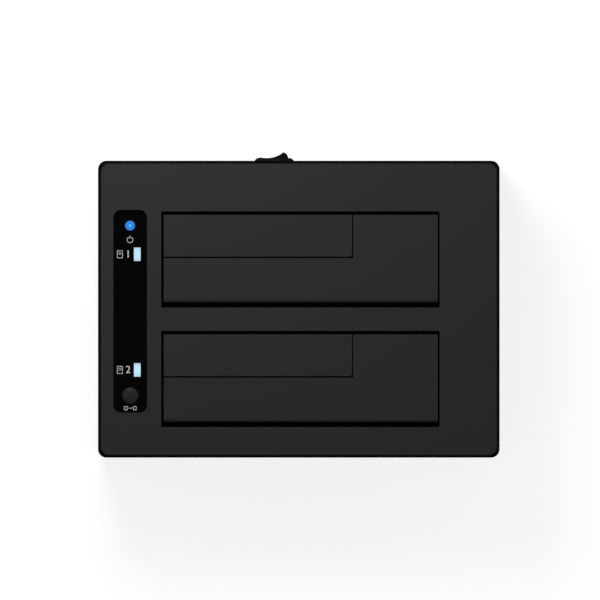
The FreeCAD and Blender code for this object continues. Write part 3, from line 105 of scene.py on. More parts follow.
class DuplicatorSizes(bpy.types.PropertyGroup):
    """Sizes of the small pieces that are added to the solids."""

    mark_thickness: length("Mark thickness", "Height of the printed marks over the strip", 0.02)
    mark_line: length("Mark line", "Line width of the printed signs", 0.2)
    numeral_height: length("Numeral height", "Height of the bay numbers", 2.9)
    numeral_step: length("Numeral step", "From a drive sign to its bay number", 3.1)
    drive_sign_shift: length("Drive sign shift", "Drive sign left of its margin's middle", 1.45)
    sign_size: length("Sign size", "Height of the power and copy signs", 2.4)
    power_sign_gap: length("Power sign gap", "From the power light to its sign", 5.4)
    copy_sign_gap: length("Copy sign gap", "From the clone button to its sign", 4.85)
    button_diameter: length("Button diameter", "Diameter of the clone button's cap", 6.1)
    button_dome: length("Button dome", "Height of the cap's rounded top", 0.62)
    button_flange: length("Button flange", "Thickness of the flange under the cover", 0.8)
    rocker_hollow: length("Rocker hollow", "Radius of the hollow between the raised ends", 10.5)
    rocker_tip_reach: length("Rocker tip reach", "From the middle out to a raised end", 4.72)
    rocker_tip_stand: length("Rocker tip stand", "Height of a raised end over the pivot", 4.72)
    rocker_rounding: length("Rocker rounding", "Radius of the raised ends' edges", 0.6)
    rocker_sign_step: length("Rocker sign step", "From the rocker's middle to a sign", 2.6)
    rocker_line: length("Rocker sign line", "Line width of the rocker's signs", 0.35)
    screw_head: length("Screw head", "Diameter of the tray screws' heads", 5.6)
    screw_head_height: length("Screw head height", "Height of the tray screws' heads", 1.9)
    screw_shank: length("Screw shank", "Diameter of the tray screws' shanks", 3.0)
    recess_length: length("Recess length", "Length of an arm of the cross recess", 3.2)
    recess_width: length("Recess width", "Width of an arm of the cross recess", 0.62)
    recess_depth: length("Recess depth", "Depth of the cross recess", 1.1)
    flap_wire: length("Flap spring wire", "Diameter of a flap spring's wire", 0.5)
    door_wire: length("Door spring wire", "Diameter of a small door spring's wire", 0.4)
    contact_pitch: length("Contact pitch", "Spacing of the drive sockets' contacts", 1.27)
    grain: length("Plastic grain", "Spacing of the moulded plastic's texture", 0.45)
    view_width: length("View width", "Width of the table that the camera sees", 227.15)
    view_right: length("View right", "From the origin right to the view's middle", 0.46)
    view_back: length("View back", "From the origin back to the view's middle", 3.475)
    camera_height: length("Camera height", "Height of the camera over the table", 1200)
    rocker_lean: bpy.props.FloatProperty(
        name="Rocker lean", description="Lean of the rocker when it is off",
        default=math.radians(12), subtype="ANGLE")
    flap_turns: bpy.props.IntProperty(
        name="Flap spring turns", description="Turns of a flap spring", default=4)
    door_turns: bpy.props.IntProperty(
        name="Door spring turns", description="Turns of a door spring", default=3)


class DuplicatorColours(bpy.types.PropertyGroup):
    """Colours of the main finishes."""

    housing: colour("Housing", "Textured black ABS of the cover and tray", "#171717")
    flap: colour("Flaps", "Textured black ABS of the flaps and small doors", "#161616")
    strip: colour("Control strip", "Gloss black acrylic", "#030304")
    button: colour("Button", "Satin black ABS of the clone button", "#1A1A1A")
    marks: colour("Marks", "White pad-printing ink", "#C9CBCD")
    power_light: colour("Power light", "Middle of the lit power lens", "#52C1FF")
    power_body: colour("Power light body", "Lit power lens round its middle", "#0776E0")
    power_rim: colour("Power light rim", "Edge of the lit power lens", "#3A74C1")
    bay_light: colour("Bay lights", "Lit bay windows", "#BDE0F7")
    floor: colour("Floor", "Pale table", "#E6E6E6")


def sizes():
    """The scene's size settings."""
    return bpy.context.scene.duplicator_sizes


def colours():
    """The scene's colour settings."""
    return bpy.context.scene.duplicator_colours


# ---------------------------------------------------------------- materials

ABS_IOR = 1.54
NYLON_IOR = 1.53
METAL = {"Metallic": 1.0}

# Finishes with an even grain: colour, roughness, width and depth of the grain in millimetres, and
# the shader's other values. A grain too fine to show is drawn as coarse as it needs to show.
GRAINED_FINISHES = {
    # The cage is moulded without texture, so it is smoother than the cover.
    "cage_abs": ("#151516", 0.42, 0.6, 0.004, {"IOR": ABS_IOR}),
    # Rubber is matt and greyer than the plastic.
    "nitrile_rubber": ("#1E1E1F", 0.85, 0.5, 0.03, {"IOR": 1.52}),
    # Zinc-plated steel of the screws: bright, with a faint bluish cast.
    "zinc_steel": ("#B9BCC0", 0.3, 0.4, 0.004, METAL),
    # Phosphated steel of the hinge pins: dull and nearly black, with little glint in an open bay.
    "phosphated_steel": ("#262728", 0.55, 0.25, 0.004, METAL),
    # Music wire of the springs, blackened and oiled.
    "music_wire": ("#3A3B3D", 0.35, 0.2, 0.002, METAL),
    # Nickel plate of the inlet's shell and the crystal: bright and a little warm.
    "nickel": ("#C2BEB4", 0.24, 0.5, 0.003, METAL),
    # Stamped brass of the contacts: warm and bright.
    "brass": ("#D8B465", 0.26, 0.3, 0.002, METAL),
    # The switch is moulded in a deep black without shine.
    "switch_nylon": ("#060607", 0.6, 0.35, 0.006,
                     {"IOR": NYLON_IOR, "Specular IOR Level": 0.06}),
    # Glass-filled nylon of the sockets shows a dry, slightly streaky skin.
    "socket_nylon": ("#121213", 0.55, 0.35, 0.006, {"IOR": NYLON_IOR}),
    # Undyed nylon of the headers: a warm off-white.
    "header_nylon": ("#D9D4C4", 0.5, 0.35, 0.006, {"IOR": NYLON_IOR}),
    # Dyed nylon of the inlet's tongue: a strong, even blue.
    "tongue_blue": ("#1B57A8", 0.45, 0.35, 0.006, {"IOR": NYLON_IOR}),
    # Moulding resin of chips: matt charcoal with filler specks.
    "filled_epoxy": ("#202123", 0.7, 0.15, 0.008, {"IOR": 1.55, "cloud": 0.25}),
    # Shrunk vinyl sleeve of the capacitors: dark blue with a soft shine.
    "capacitor_sleeve": ("#1D2333", 0.35, 0.5, 0.004, {"IOR": 1.5}),
    # Pressed and fired ferrite of the chokes: dull grey and finely pitted.
    "ferrite": ("#303034", 0.6, 0.3, 0.02, {"IOR": 1.6}),
    # Cast epoxy of the light-emitting diodes: milky.
    "led_resin": ("#E9E7DC", 0.4, 0.3, 0.003, {"IOR": 1.53}),
    # Extruded PVC of the switch leads: a smooth dull red.
    "lead_pvc": ("#A02A22", 0.42, 0.4, 0.004, {"IOR": 1.53}),
}

FINISHES = {}


def add_node(tree, kind, inputs=None, **settings):
    """A shader node with its settings; an input is a value, or a node or socket to link from."""
    node = tree.nodes.new(kind)
    for name, value in settings.items():
        setattr(node, name, value)
    for name, value in (inputs or {}).items():
        if isinstance(value, bpy.types.Node):
            value = value.outputs[0]
        if isinstance(value, bpy.types.NodeSocket):
            tree.links.new(value, node.inputs[name])
        else:
            node.inputs[name].default_value = value
    return node


def new_material(name):
    """An empty node material and its tree."""
    material = bpy.data.materials.new(name)
    material.use_nodes = True
    material.node_tree.nodes.clear()
    return material, material.node_tree


def close_material(tree, shader):
    """Links the last shader to the tree's output."""
    add_node(tree, "ShaderNodeOutputMaterial", {"Surface": shader})


def shades(tree, factor, first, second):
    """Colour socket that goes from the first colour to the second as the factor rises."""
    mix = add_node(tree, "ShaderNodeMix", {0: factor, 6: first, 7: second}, data_type="RGBA")
    return mix.outputs[2]


def lighter(rgba, share):
    """The colour made lighter by a share, or darker by a negative one."""
    return tuple(min(1.0, level * (1 + share)) for level in rgba[:3]) + (1.0,)


def grained(name, rgba, roughness, grain, depth, cloud=0.1, **shader_values):
    """Material with an even grain, its width and depth in metres, and a cloud of two shades."""
    material, tree = new_material(name)
    place = add_node(tree, "ShaderNodeTexCoord").outputs["Object"]
    fine = add_node(tree, "ShaderNodeTexNoise", {
        "Vector": place, "Scale": 1 / grain, "Detail": 3.0})
    broad = add_node(tree, "ShaderNodeTexNoise", {
        "Vector": place, "Scale": 1 / (40 * grain), "Detail": 2.0})
    rough = add_node(tree, "ShaderNodeMapRange", {
        "Value": fine, "To Min": max(0.02, roughness - 0.05),
        "To Max": min(1.0, roughness + 0.05)})
    bump = add_node(tree, "ShaderNodeBump", {"Height": fine, "Distance": depth, "Strength": 0.6})
    close_material(tree, add_node(tree, "ShaderNodeBsdfPrincipled", {
        "Base Color": shades(tree, broad, lighter(rgba, -cloud), lighter(rgba, cloud)),
        "Roughness": rough, "Normal": bump, **shader_values}))
    return material


def spark_eroded_abs(name, rgba, painted_shade_band=None):
    """Black ABS from a spark-eroded mould: a fine even grain that breaks up the shine.

    The real grain is about 0.1 mm; it is drawn as wide as the grain setting, so that it shows.
    Along a wall the grain stands in its own way and the shine goes, and the moulded edges stay
    matt; walls seen nearly edge-on and sloping edges also take painted shade, a copy of the colour
    about half as light. The painted shade band is the height range, in metres, just below a flap's
    textured face: there and below it the flap takes painted shade, deeper black and without shine,
    in its gaps and on its rolled front edge.
    """
    material, tree = new_material(name)
    place = add_node(tree, "ShaderNodeTexCoord").outputs["Object"]
    grain = sizes().grain
    fine = add_node(tree, "ShaderNodeTexNoise", {
        "Vector": place, "Scale": 1 / grain, "Detail": 3.0})
    broad = add_node(tree, "ShaderNodeTexNoise", {
        "Vector": place, "Scale": 1 / (60 * grain), "Detail": 2.0})
    rough = add_node(tree, "ShaderNodeMapRange", {"Value": fine, "To Min": 0.5, "To Max": 0.62})
    bump = add_node(tree, "ShaderNodeBump", {
        "Height": fine, "Distance": 0.02 * MM, "Strength": 0.5})
    face = add_node(tree, "ShaderNodeBsdfPrincipled", {
        "Base Color": shades(tree, broad, lighter(rgba, -0.06), lighter(rgba, 0.06)),
        "IOR": ABS_IOR, "Specular IOR Level": 0.25, "Roughness": rough,
        "Normal": bump})
    # Painted shade: where a wall is seen nearly edge-on, the finish turns to a darker copy without
    # shine.
    along = add_node(tree, "ShaderNodeMapRange", {
        "Value": add_node(tree, "ShaderNodeLayerWeight", {"Blend": 0.5}).outputs["Facing"],
        "From Min": 0.8, "From Max": 0.96})
    normal = add_node(tree, "ShaderNodeSeparateXYZ", {
        0: add_node(tree, "ShaderNodeNewGeometry").outputs["Normal"]})
    upright = add_node(tree, "ShaderNodeMath", {0: normal.outputs["Z"]}, operation="ABSOLUTE")
    # An edge is neither upright nor level: the slope is greatest halfway between them.
    slope = add_node(tree, "ShaderNodeMath", {0: upright, 1: 0.5}, operation="PINGPONG")
    edge = add_node(tree, "ShaderNodeMapRange", {
        "Value": slope, "From Min": 0.05, "From Max": 0.3, "To Max": 0.5})
    matt = add_node(tree, "ShaderNodeMath", {0: along, 1: edge}, operation="MAXIMUM")
    # The darker copy's colour, about half as light: painted shade on walls and sloping edges.
    plain = shades(tree, broad, lighter(rgba, -0.5), lighter(rgba, -0.4))
    # Painted shade below a flap's face, in its gaps and on its rolled front edge: deeper black,
    # without shine.
    if painted_shade_band:
        height = add_node(tree, "ShaderNodeSeparateXYZ", {0: place}).outputs["Z"]
        core = add_node(tree, "ShaderNodeMapRange", {
            "Value": height, "From Min": painted_shade_band[0], "From Max": painted_shade_band[1], "To Min": 1.0,
            "To Max": 0.0}, interpolation_type="SMOOTHSTEP")
        plain = shades(tree, core, plain, lighter(rgba, -0.75))
        matt = add_node(tree, "ShaderNodeMath", {0: matt, 1: core}, operation="MAXIMUM")
    # The dull copy without shine carries the painted shade.
    dull = add_node(tree, "ShaderNodeBsdfPrincipled", {
        "Base Color": plain, "IOR": ABS_IOR, "Specular IOR Level": 0.0, "Roughness": 0.9,
        "Normal": bump})
    close_material(tree, add_node(tree, "ShaderNodeMixShader", {0: matt, 1: face, 2: dull}))
    return material


def gloss_acrylic(name, rgba):
    """Gloss black acrylic, moulded against a polished insert: a mirror shine, faintly wavy."""
    material, tree = new_material(name)
    place = add_node(tree, "ShaderNodeTexCoord").outputs["Object"]
    wave = add_node(tree, "ShaderNodeTexNoise", {
        "Vector": place, "Scale": 1 / (6 * MM), "Detail": 1.0})
    smear = add_node(tree, "ShaderNodeMapRange", {"Value": wave, "To Min": 0.03, "To Max": 0.07})
    bump = add_node(tree, "ShaderNodeBump", {
        "Height": wave, "Distance": 0.01 * MM, "Strength": 0.2})
    close_material(tree, add_node(tree, "ShaderNodeBsdfPrincipled", {
        "Base Color": shades(tree, wave, lighter(rgba, -0.1), lighter(rgba, 0.1)), "IOR": 1.49,
        "Roughness": smear, "Normal": bump}))
    return material


def lit_lens(name, core, body, edge, centre, radius):
    """Frosted polycarbonate lit from behind: the core over its LED, the body round it, an edge."""
    material, tree = new_material(name)
    place = add_node(tree, "ShaderNodeTexCoord").outputs["Object"]
    from_middle = add_node(tree, "ShaderNodeVectorMath", {
        0: place, 1: tuple(centre)}, operation="SUBTRACT")
    flat = add_node(tree, "ShaderNodeVectorMath", {
        0: from_middle, 1: (1, 1, 0)}, operation="MULTIPLY")
    away = add_node(tree, "ShaderNodeVectorMath", {
        0: flat}, operation="LENGTH").outputs["Value"]
    around = add_node(tree, "ShaderNodeMapRange", {
        "Value": away, "From Min": 0.1 * radius, "From Max": 0.45 * radius},
        interpolation_type="SMOOTHSTEP")
    outward = add_node(tree, "ShaderNodeMapRange", {
        "Value": away, "From Min": 0.6 * radius, "From Max": 0.85 * radius})
    tint = shades(tree, outward, shades(tree, around, core, body), edge)
    frost = add_node(tree, "ShaderNodeTexNoise", {
        "Vector": place, "Scale": 1 / (0.3 * MM), "Detail": 2.0})
    bump = add_node(tree, "ShaderNodeBump", {
        "Height": frost, "Distance": 0.01 * MM, "Strength": 0.4})
    close_material(tree, add_node(tree, "ShaderNodeBsdfPrincipled", {
        "Base Color": lighter(body, -0.9), "Emission Color": tint, "Emission Strength": 1.0,
        "IOR": 1.58, "Specular IOR Level": 0.2, "Roughness": 0.45, "Normal": bump}))
    return material


def laminate(name):
    """Green FR4 board under solder mask: copper lines show a little paler, with a satin shine."""
    material, tree = new_material(name)
    place = add_node(tree, "ShaderNodeTexCoord").outputs["Object"]
    lines = add_node(tree, "ShaderNodeTexVoronoi", {"Vector": place, "Scale": 1 / (2.5 * MM)},
                     distance="MANHATTAN", feature="F1")
    edge = add_node(tree, "ShaderNodeMapRange", {
        "Value": lines.outputs["Distance"], "From Min": 0.55, "From Max": 0.6})
    bump = add_node(tree, "ShaderNodeBump", {
        "Height": edge, "Distance": 0.03 * MM, "Strength": 0.4})
    close_material(tree, add_node(tree, "ShaderNodeBsdfPrincipled", {
        "Base Color": shades(tree, edge, linear("#14502C"), linear("#1F6B3C")),
        "IOR": 1.52, "Roughness": 0.32, "Normal": bump}))
    return material


def ribbon_pvc(name, pitch):
    """Grey PVC ribbon cable: soft ridges along Y that stand for cores of the given pitch.

    The wave texture takes twenty radians in a unit of its scale, so a ridge is drawn 2 pi times
    as wide as a core.
    """
    material, tree = new_material(name)
    place = add_node(tree, "ShaderNodeTexCoord").outputs["Object"]
    cores = add_node(tree, "ShaderNodeTexWave", {"Vector": place, "Scale": 1 / (pitch * 20)},
                     wave_type="BANDS", bands_direction="Y", wave_profile="SIN").outputs["Fac"]
    bump = add_node(tree, "ShaderNodeBump", {"Height": cores, "Distance": 0.2 * MM})
    # Painted shade and highlight: the grooves between cores are painted darker, the ridges lighter.
    close_material(tree, add_node(tree, "ShaderNodeBsdfPrincipled", {
        "Base Color": shades(tree, cores, linear("#6E7072"), linear("#8E9092")),
        "IOR": 1.53, "Roughness": 0.45, "Normal": bump}))
    return material


def make_finishes():
    """Every finish by its name."""
    tone = colours()
    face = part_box("front_flap")[1].z
    finishes = {
        # Both ABS finishes paint shade on walls seen nearly edge-on and on sloping edges.
        "cover_abs": spark_eroded_abs("cover_abs", tone.housing),
        # The flaps' finish also paints shade below their face, in the gaps and on the rolled front
        # edge.
        "flap_abs": spark_eroded_abs("flap_abs", tone.flap, (face - 0.6 * MM, face - 0.01 * MM)),
        "strip_acrylic": gloss_acrylic("strip_acrylic", tone.strip),
        "power_lens": lit_lens("power_lens", tone.power_light, tone.power_body, tone.power_rim,
                               middle("power_light"), size_of("power_light").x / 2),
        "fr4_laminate": laminate("fr4_laminate"),
        "ribbon_pvc": ribbon_pvc("ribbon_pvc", 1.27 * MM),
        # Satin ABS keeps a soft shine on its dome.
        "button_abs": grained("button_abs", tone.button, 0.58, 0.3 * MM, 0.006 * MM,
                              **{"IOR": ABS_IOR, "Specular IOR Level": 0.15}),
        # Pad-printing ink lies thinly, with slightly uneven cover.
        "printed_white": grained("printed_white", tone.marks, 0.55, 0.15 * MM, 0.002 * MM,
                                 cloud=0.05, **{"IOR": 1.5, "Specular IOR Level": 0.2}),
    }
    for bay in BAYS:
        name = f"{bay}_window_lens"
        window = f"{bay}_bay_light"
        finishes[name] = lit_lens(name, tone.bay_light, lighter(tone.bay_light, -0.04),
                                  lighter(tone.bay_light, -0.2), middle(window),
                                  size_of(window).y / 2)
    for name, (hex_colour, roughness, grain, depth, values) in GRAINED_FINISHES.items():
        finishes[name] = grained(name, linear(hex_colour), roughness, grain * MM, depth * MM,
                                 **values)
    return finishes


def finish(name):
    """A finish by name; all are made at the first call."""
    if not FINISHES:
        FINISHES.update(make_finishes())
    return FINISHES[name]


def dress(nodes, name):
    """Gives CAD nodes a finish."""
    for node in nodes:
        slots = frame["nodes"][node].data.materials
        slots.clear()
        slots.append(finish(name))


# ---------------------------------------------------------------- modelling helpers

def deselect():
    """Deselects everything, so that the next operator takes its own piece alone."""
    bpy.ops.object.select_all(action="DESELECT")


def take(piece):
    """Makes a piece the only selected and active one."""
    deselect()
    piece.select_set(True)
    bpy.context.view_layer.objects.active = piece


def pick(piece, kind, chosen):
    """In edit mode, selects the VERT, EDGE or FACE elements for which chosen holds, no others."""
    bpy.ops.mesh.select_mode(type=kind)
    bpy.ops.mesh.select_all(action="DESELECT")
    mesh = bmesh.from_edit_mesh(piece.data)
    for element in {"VERT": mesh.verts, "EDGE": mesh.edges, "FACE": mesh.faces}[kind]:
        element.select = chosen(element)
    mesh.select_flush_mode()
    bmesh.update_edit_mesh(piece.data)


def settle(piece, name, finish_name, body, replaced=(), smooth=None):
    """Applies a piece's place, and gives it its name, finish and CAD body; hides the CAD nodes it
    replaces.
    """
    take(piece)
    if piece.type != "MESH":
        bpy.ops.object.convert(target="MESH")
    bpy.ops.object.transform_apply(location=True, rotation=True, scale=True)
    if smooth:
        bpy.ops.object.shade_smooth_by_angle(angle=smooth)
    piece.name = name
    piece.data.name = name
    piece.data.materials.clear()
    piece.data.materials.append(finish(finish_name))
    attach(piece, body)
    if replaced:
        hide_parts(*replaced)
    return piece


def join(pieces):
    """One object of several."""
    take(pieces[0])
    for piece in pieces:
        piece.select_set(True)
    bpy.ops.object.join()
    return pieces[0]


def copy_of(piece):
    """A copy with its own mesh."""
    twin = piece.copy()
    twin.data = piece.data.copy()
    bpy.context.scene.collection.objects.link(twin)
    return twin


def copy_of_node(node):
    """A copy of a CAD node's mesh, its triangles merged into whole faces."""
    piece = bpy.data.objects.new(f"{node}_copy", frame["nodes"][node].data.copy())
    bpy.context.scene.collection.objects.link(piece)
    take(piece)
    bpy.ops.mesh.customdata_custom_splitnormals_clear()
    bpy.ops.object.mode_set(mode="EDIT")
    bpy.ops.mesh.select_all(action="SELECT")
    bpy.ops.mesh.remove_doubles(threshold=TOUCHING)
    bpy.ops.mesh.dissolve_limited(angle_limit=math.radians(1))
    bpy.ops.object.mode_set(mode="OBJECT")
    return piece


def block(place, sides, turn=0.0):
    """A cube drawn out to the given sides and turned about Z."""
    deselect()
    bpy.ops.mesh.primitive_cube_add(size=1, location=place)
    piece = bpy.context.object
    piece.scale = sides
    piece.rotation_euler.z = turn
    take(piece)
    bpy.ops.object.transform_apply(location=False, rotation=True, scale=True)
    return piece


def thicken(height):
    """Draws the flat shape that is selected in edit mode up by a height."""
    bpy.ops.object.mode_set(mode="EDIT")
    bpy.ops.mesh.extrude_region_move(TRANSFORM_OT_translate={"value": (0, 0, height)})
    bpy.ops.mesh.select_all(action="SELECT")
    bpy.ops.mesh.normals_make_consistent(inside=False)
    bpy.ops.object.mode_set(mode="OBJECT")


def close_end(piece, chosen, leg=None):
    """In edit mode, closes the open end that chosen(vertex) tells, drawn out by leg first."""
    bpy.ops.mesh.select_mode(type="VERT")
    bpy.ops.mesh.select_all(action="DESELECT")
    bpy.ops.mesh.select_non_manifold()
    mesh = bmesh.from_edit_mesh(piece.data)
    for vertex in mesh.verts:
        vertex.select = vertex.select and chosen(vertex)
    mesh.select_flush_mode()
    bmesh.update_edit_mesh(piece.data)
    if leg:
        bpy.ops.mesh.extrude_edges_move(TRANSFORM_OT_translate={"value": tuple(leg)})
    bpy.ops.mesh.edge_face_add()


def ease(piece, width, segments):
    """Rounds a piece's sharp edges by a moulding radius."""
    take(piece)
    rounding = piece.modifiers.new("rounding", "BEVEL")
    rounding.width = width
    rounding.segments = segments
    rounding.limit_method = "ANGLE"
    rounding.angle_limit = SHARP_EDGE
    rounding.use_clamp_overlap = False
    bpy.ops.object.modifier_apply(modifier="rounding")


def joint_place(name):
    """Place of a joint's axis."""
    return Vector(next(joint["pos_m"] for joint in frame["joints"] if joint["name"] == name))


# ---------------------------------------------------------------- operators

class DUPLICATOR_OT_dress_housing(bpy.types.Operator):
    """Give the cover, tray, cage, feet and inner screws their finishes"""

    bl_idname = "duplicator.dress_housing"
    bl_label = "Dress housing"

    def execute(self, context):
        dress(["top_cover", "base_tray"], "cover_abs")
        dress(["drive_cage"], "cage_abs")
        dress(["rubber_feet"], "nitrile_rubber")
        dress(["cage_screws", "indicator_screws", "board_screws"], "zinc_steel")
        return {"FINISHED"}


class DUPLICATOR_OT_dress_flaps(bpy.types.Operator):
    """Give the bay flaps, their small doors and pins their finishes"""

    bl_idname = "duplicator.dress_flaps"
    bl_label = "Dress flaps"

    def execute(self, context):
        for bay in BAYS:
            dress([f"{bay}_flap", f"{bay}_small_door"], "flap_abs")
            dress([f"{bay}_flap_pin", f"{bay}_door_pin"], "phosphated_steel")
        return {"FINISHED"}


class DUPLICATOR_OT_dress_strip(bpy.types.Operator):
    """Give the control strip, its lights and the parts under it their finishes"""

    bl_idname = "duplicator.dress_strip"
    bl_label = "Dress control strip"

    def execute(self, context):
        dress(["control_strip"], "strip_acrylic")
        dress(["power_light"], "power_lens")
        for bay in BAYS:
            dress([f"{bay}_bay_light"], f"{bay}_window_lens")
        dress(["indicator_board"], "fr4_laminate")
        dress(["indicator_leds"], "led_resin")
        dress(["clone_switch", "switch_plunger"], "socket_nylon")
        return {"FINISHED"}


class DUPLICATOR_OT_dress_electrics(bpy.types.Operator):
    """Give the boards, sockets, connectors, cables and rocker's housing their finishes"""

    bl_idname = "duplicator.dress_electrics"
    bl_label = "Dress electrics"

    def execute(self, context):
        dress(["main_board"], "fr4_laminate")
        dress(["rear_drive_socket", "front_drive_socket", "power_jack"], "socket_nylon")
        dress(["usb_shell", "crystal"], "nickel")
        dress(["usb_tongue"], "tongue_blue")
        dress(["jack_pin", "switch_terminals"], "brass")
        dress(["bridge_chips"], "filled_epoxy")
        dress(["capacitors"], "capacitor_sleeve")
        dress(["power_chokes"], "ferrite")
        dress(["cable_headers", "switch_header"], "header_nylon")
        dress(["indicator_cable"], "ribbon_pvc")
        dress(["switch_leads"], "lead_pvc")
        dress(["rocker_switch"], "switch_nylon")
        return {"FINISHED"}


# The power sign: half its gap in line widths, its bar's place in shares of the radius.
POWER_GAP, POWER_BAR_BACK = 2.3, 0.82
# The copy sign: a sheet's side in shares of the sign, and the rest in shares of that side.
SHEET_SIDE, SHEET_WIDTH, SHEET_STEP, SHAFT_LENGTH, TIP_RADIUS = 0.62, 0.85, 1.15, 0.7, 0.22
# The arrow's shaft and tip, in shares of the step from the sign's middle to a sheet.
SHAFT_LEFT, TIP_RIGHT = 0.1, 0.26
# The drive sign, in shares of its height, and its spindle's line, in shares of the signs' line.
DRIVE_WIDTH, SPINDLE_BACK, SPINDLE_RADIUS, SPINDLE_LINE = 0.74, 0.12, 0.17, 0.8
# A figure's height, in shares of the size of its text.
FIGURE_HEIGHT = 0.73
# The rocker's bar and ring, their thickness, and the share of it that is sunk into the rocker.
ROCKER_BAR, ROCKER_RING, ROCKER_MARK, ROCKER_MARK_SUNK = 2.0 * MM, 0.95 * MM, 0.08 * MM, 0.4


class DUPLICATOR_OT_print_marks(bpy.types.Operator):
    """Print the plain signs and bay numbers on the control strip and the rocker"""

    bl_idname = "duplicator.print_marks"
    bl_label = "Print marks"

    def execute(self, context):
        size = sizes()
        strip_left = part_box("control_strip")[0].x
        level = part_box("control_strip")[1].z + size.mark_thickness / 4
        light = middle("power_light")
        button = middle("clone_button")
        marks = [
            self.power_sign(Vector((light.x, light.y - size.power_sign_gap, level)), size),
            self.copy_sign(Vector((button.x, button.y - size.copy_sign_gap, level)), size),
        ]
        places = []
        for bay in BAYS:
            window = f"{bay}_bay_light"
            across = (strip_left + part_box(window)[0].x) / 2 - size.drive_sign_shift
            places.append(Vector((across, middle(window).y, level)))
        marks.append(self.drive_sign(places[0], size))
        marks.append(copy_of(marks[-1]))
        marks[-1].location += places[1] - places[0]
        for number, place in enumerate(places, 1):
            at = place + Vector((size.numeral_step, 0, 0))
            marks.append(self.numeral(str(number), at, size))
        settle(join(marks), "strip_marks", "printed_white", "housing")
        settle(join(self.rocker_signs(size)), "rocker_marks", "printed_white", "rocker")
        return {"FINISHED"}

    def ring(self, place, outer, line, thickness, corners):
        """Flat ring with the given line width."""
        deselect()
        bpy.ops.mesh.primitive_circle_add(vertices=corners, radius=outer, fill_type="NGON",
                                          location=place)
        piece = bpy.context.object
        bpy.ops.object.mode_set(mode="EDIT")
        bpy.ops.mesh.inset(thickness=line)
        bpy.ops.mesh.delete(type="FACE")
        bpy.ops.mesh.select_all(action="SELECT")
        thicken(thickness)
        return piece

    def sheet(self, place, width, depth, line, thickness):
        """Flat four-sided outline of the given width and depth."""
        bars = []
        inner = width - 2 * line
        for across, deep, wide, long in (
                (-1, 0, line, depth), (1, 0, line, depth),
                (0, -1, inner, line), (0, 1, inner, line)):
            shift = Vector((across * (width - line) / 2, deep * (depth - line) / 2, 0))
            bars.append(self.stroke(place + shift, wide, long, thickness))
        return join(bars)

    def stroke(self, place, width, depth, thickness):
        """Flat bar."""
        deselect()
        bpy.ops.mesh.primitive_plane_add(size=1, location=place)
        piece = bpy.context.object
        piece.scale = (width, depth, 1)
        take(piece)
        bpy.ops.object.transform_apply(location=False, rotation=False, scale=True)
        thicken(thickness)
        return piece

    def power_sign(self, place, size):
        """Open ring with a bar in its gap."""
        radius = size.sign_size / 2
        gap = size.mark_line * POWER_GAP
        ring = self.ring(place, radius, size.mark_line, size.mark_thickness, 40)
        bpy.ops.object.mode_set(mode="EDIT")

        def in_gap(face):
            at = face.calc_center_median()
            return abs(at.x) < gap and at.y > 0

        pick(ring, "FACE", in_gap)
        bpy.ops.mesh.delete(type="FACE")
        close_end(ring, lambda vertex: vertex.co.x < 0)
        close_end(ring, lambda vertex: vertex.co.x > 0)
        bpy.ops.object.mode_set(mode="OBJECT")
        bar = self.stroke(place + Vector((0, radius * POWER_BAR_BACK, 0)), size.mark_line,
                          radius, size.mark_thickness)
        return join([ring, bar])

    def copy_sign(self, place, size):
        """A small sheet, an arrow and a second sheet: the original and its copy."""
        side = size.sign_size * SHEET_SIDE
        line = size.mark_line
        step = Vector((side * SHEET_STEP, 0, 0))
        original = self.sheet(place - step, side * SHEET_WIDTH, side, line, size.mark_thickness)
        copied = copy_of(original)
        copied.location += 2 * step
        shaft = self.stroke(place - step * SHAFT_LEFT, side * SHAFT_LENGTH, line,
                            size.mark_thickness)
        deselect()
        bpy.ops.mesh.primitive_circle_add(
            vertices=3, radius=side * TIP_RADIUS, fill_type="NGON",
            location=place + step * TIP_RIGHT, rotation=(0, 0, -math.pi / 2))
        tip = bpy.context.object
        thicken(size.mark_thickness)
        return join([original, copied, shaft, tip])

    def drive_sign(self, place, size):
        """A drive seen from above: a plain outline with its spindle."""
        tall = size.numeral_height
        outline = self.sheet(place, tall * DRIVE_WIDTH, tall, size.mark_line,
                             size.mark_thickness)
        spindle = self.ring(place + Vector((0, tall * SPINDLE_BACK, 0)), tall * SPINDLE_RADIUS,
                            size.mark_line * SPINDLE_LINE, size.mark_thickness, 20)
        return join([outline, spindle])

    def numeral(self, text, place, size):
        """A bay number in plain figures, made a mesh."""
        deselect()
        bpy.ops.object.text_add(location=place)
        piece = bpy.context.object
        piece.data.body = text
        piece.data.size = size.numeral_height / FIGURE_HEIGHT
        piece.data.align_x = "CENTER"
        piece.data.align_y = "CENTER"
        piece.data.extrude = size.mark_thickness / 2
        take(piece)
        bpy.ops.object.convert(target="MESH")
        piece = bpy.context.object
        bpy.ops.object.mode_set(mode="EDIT")
        bpy.ops.mesh.select_all(action="SELECT")
        bpy.ops.mesh.remove_doubles(threshold=TOUCHING)
        bpy.ops.object.mode_set(mode="OBJECT")
        return piece

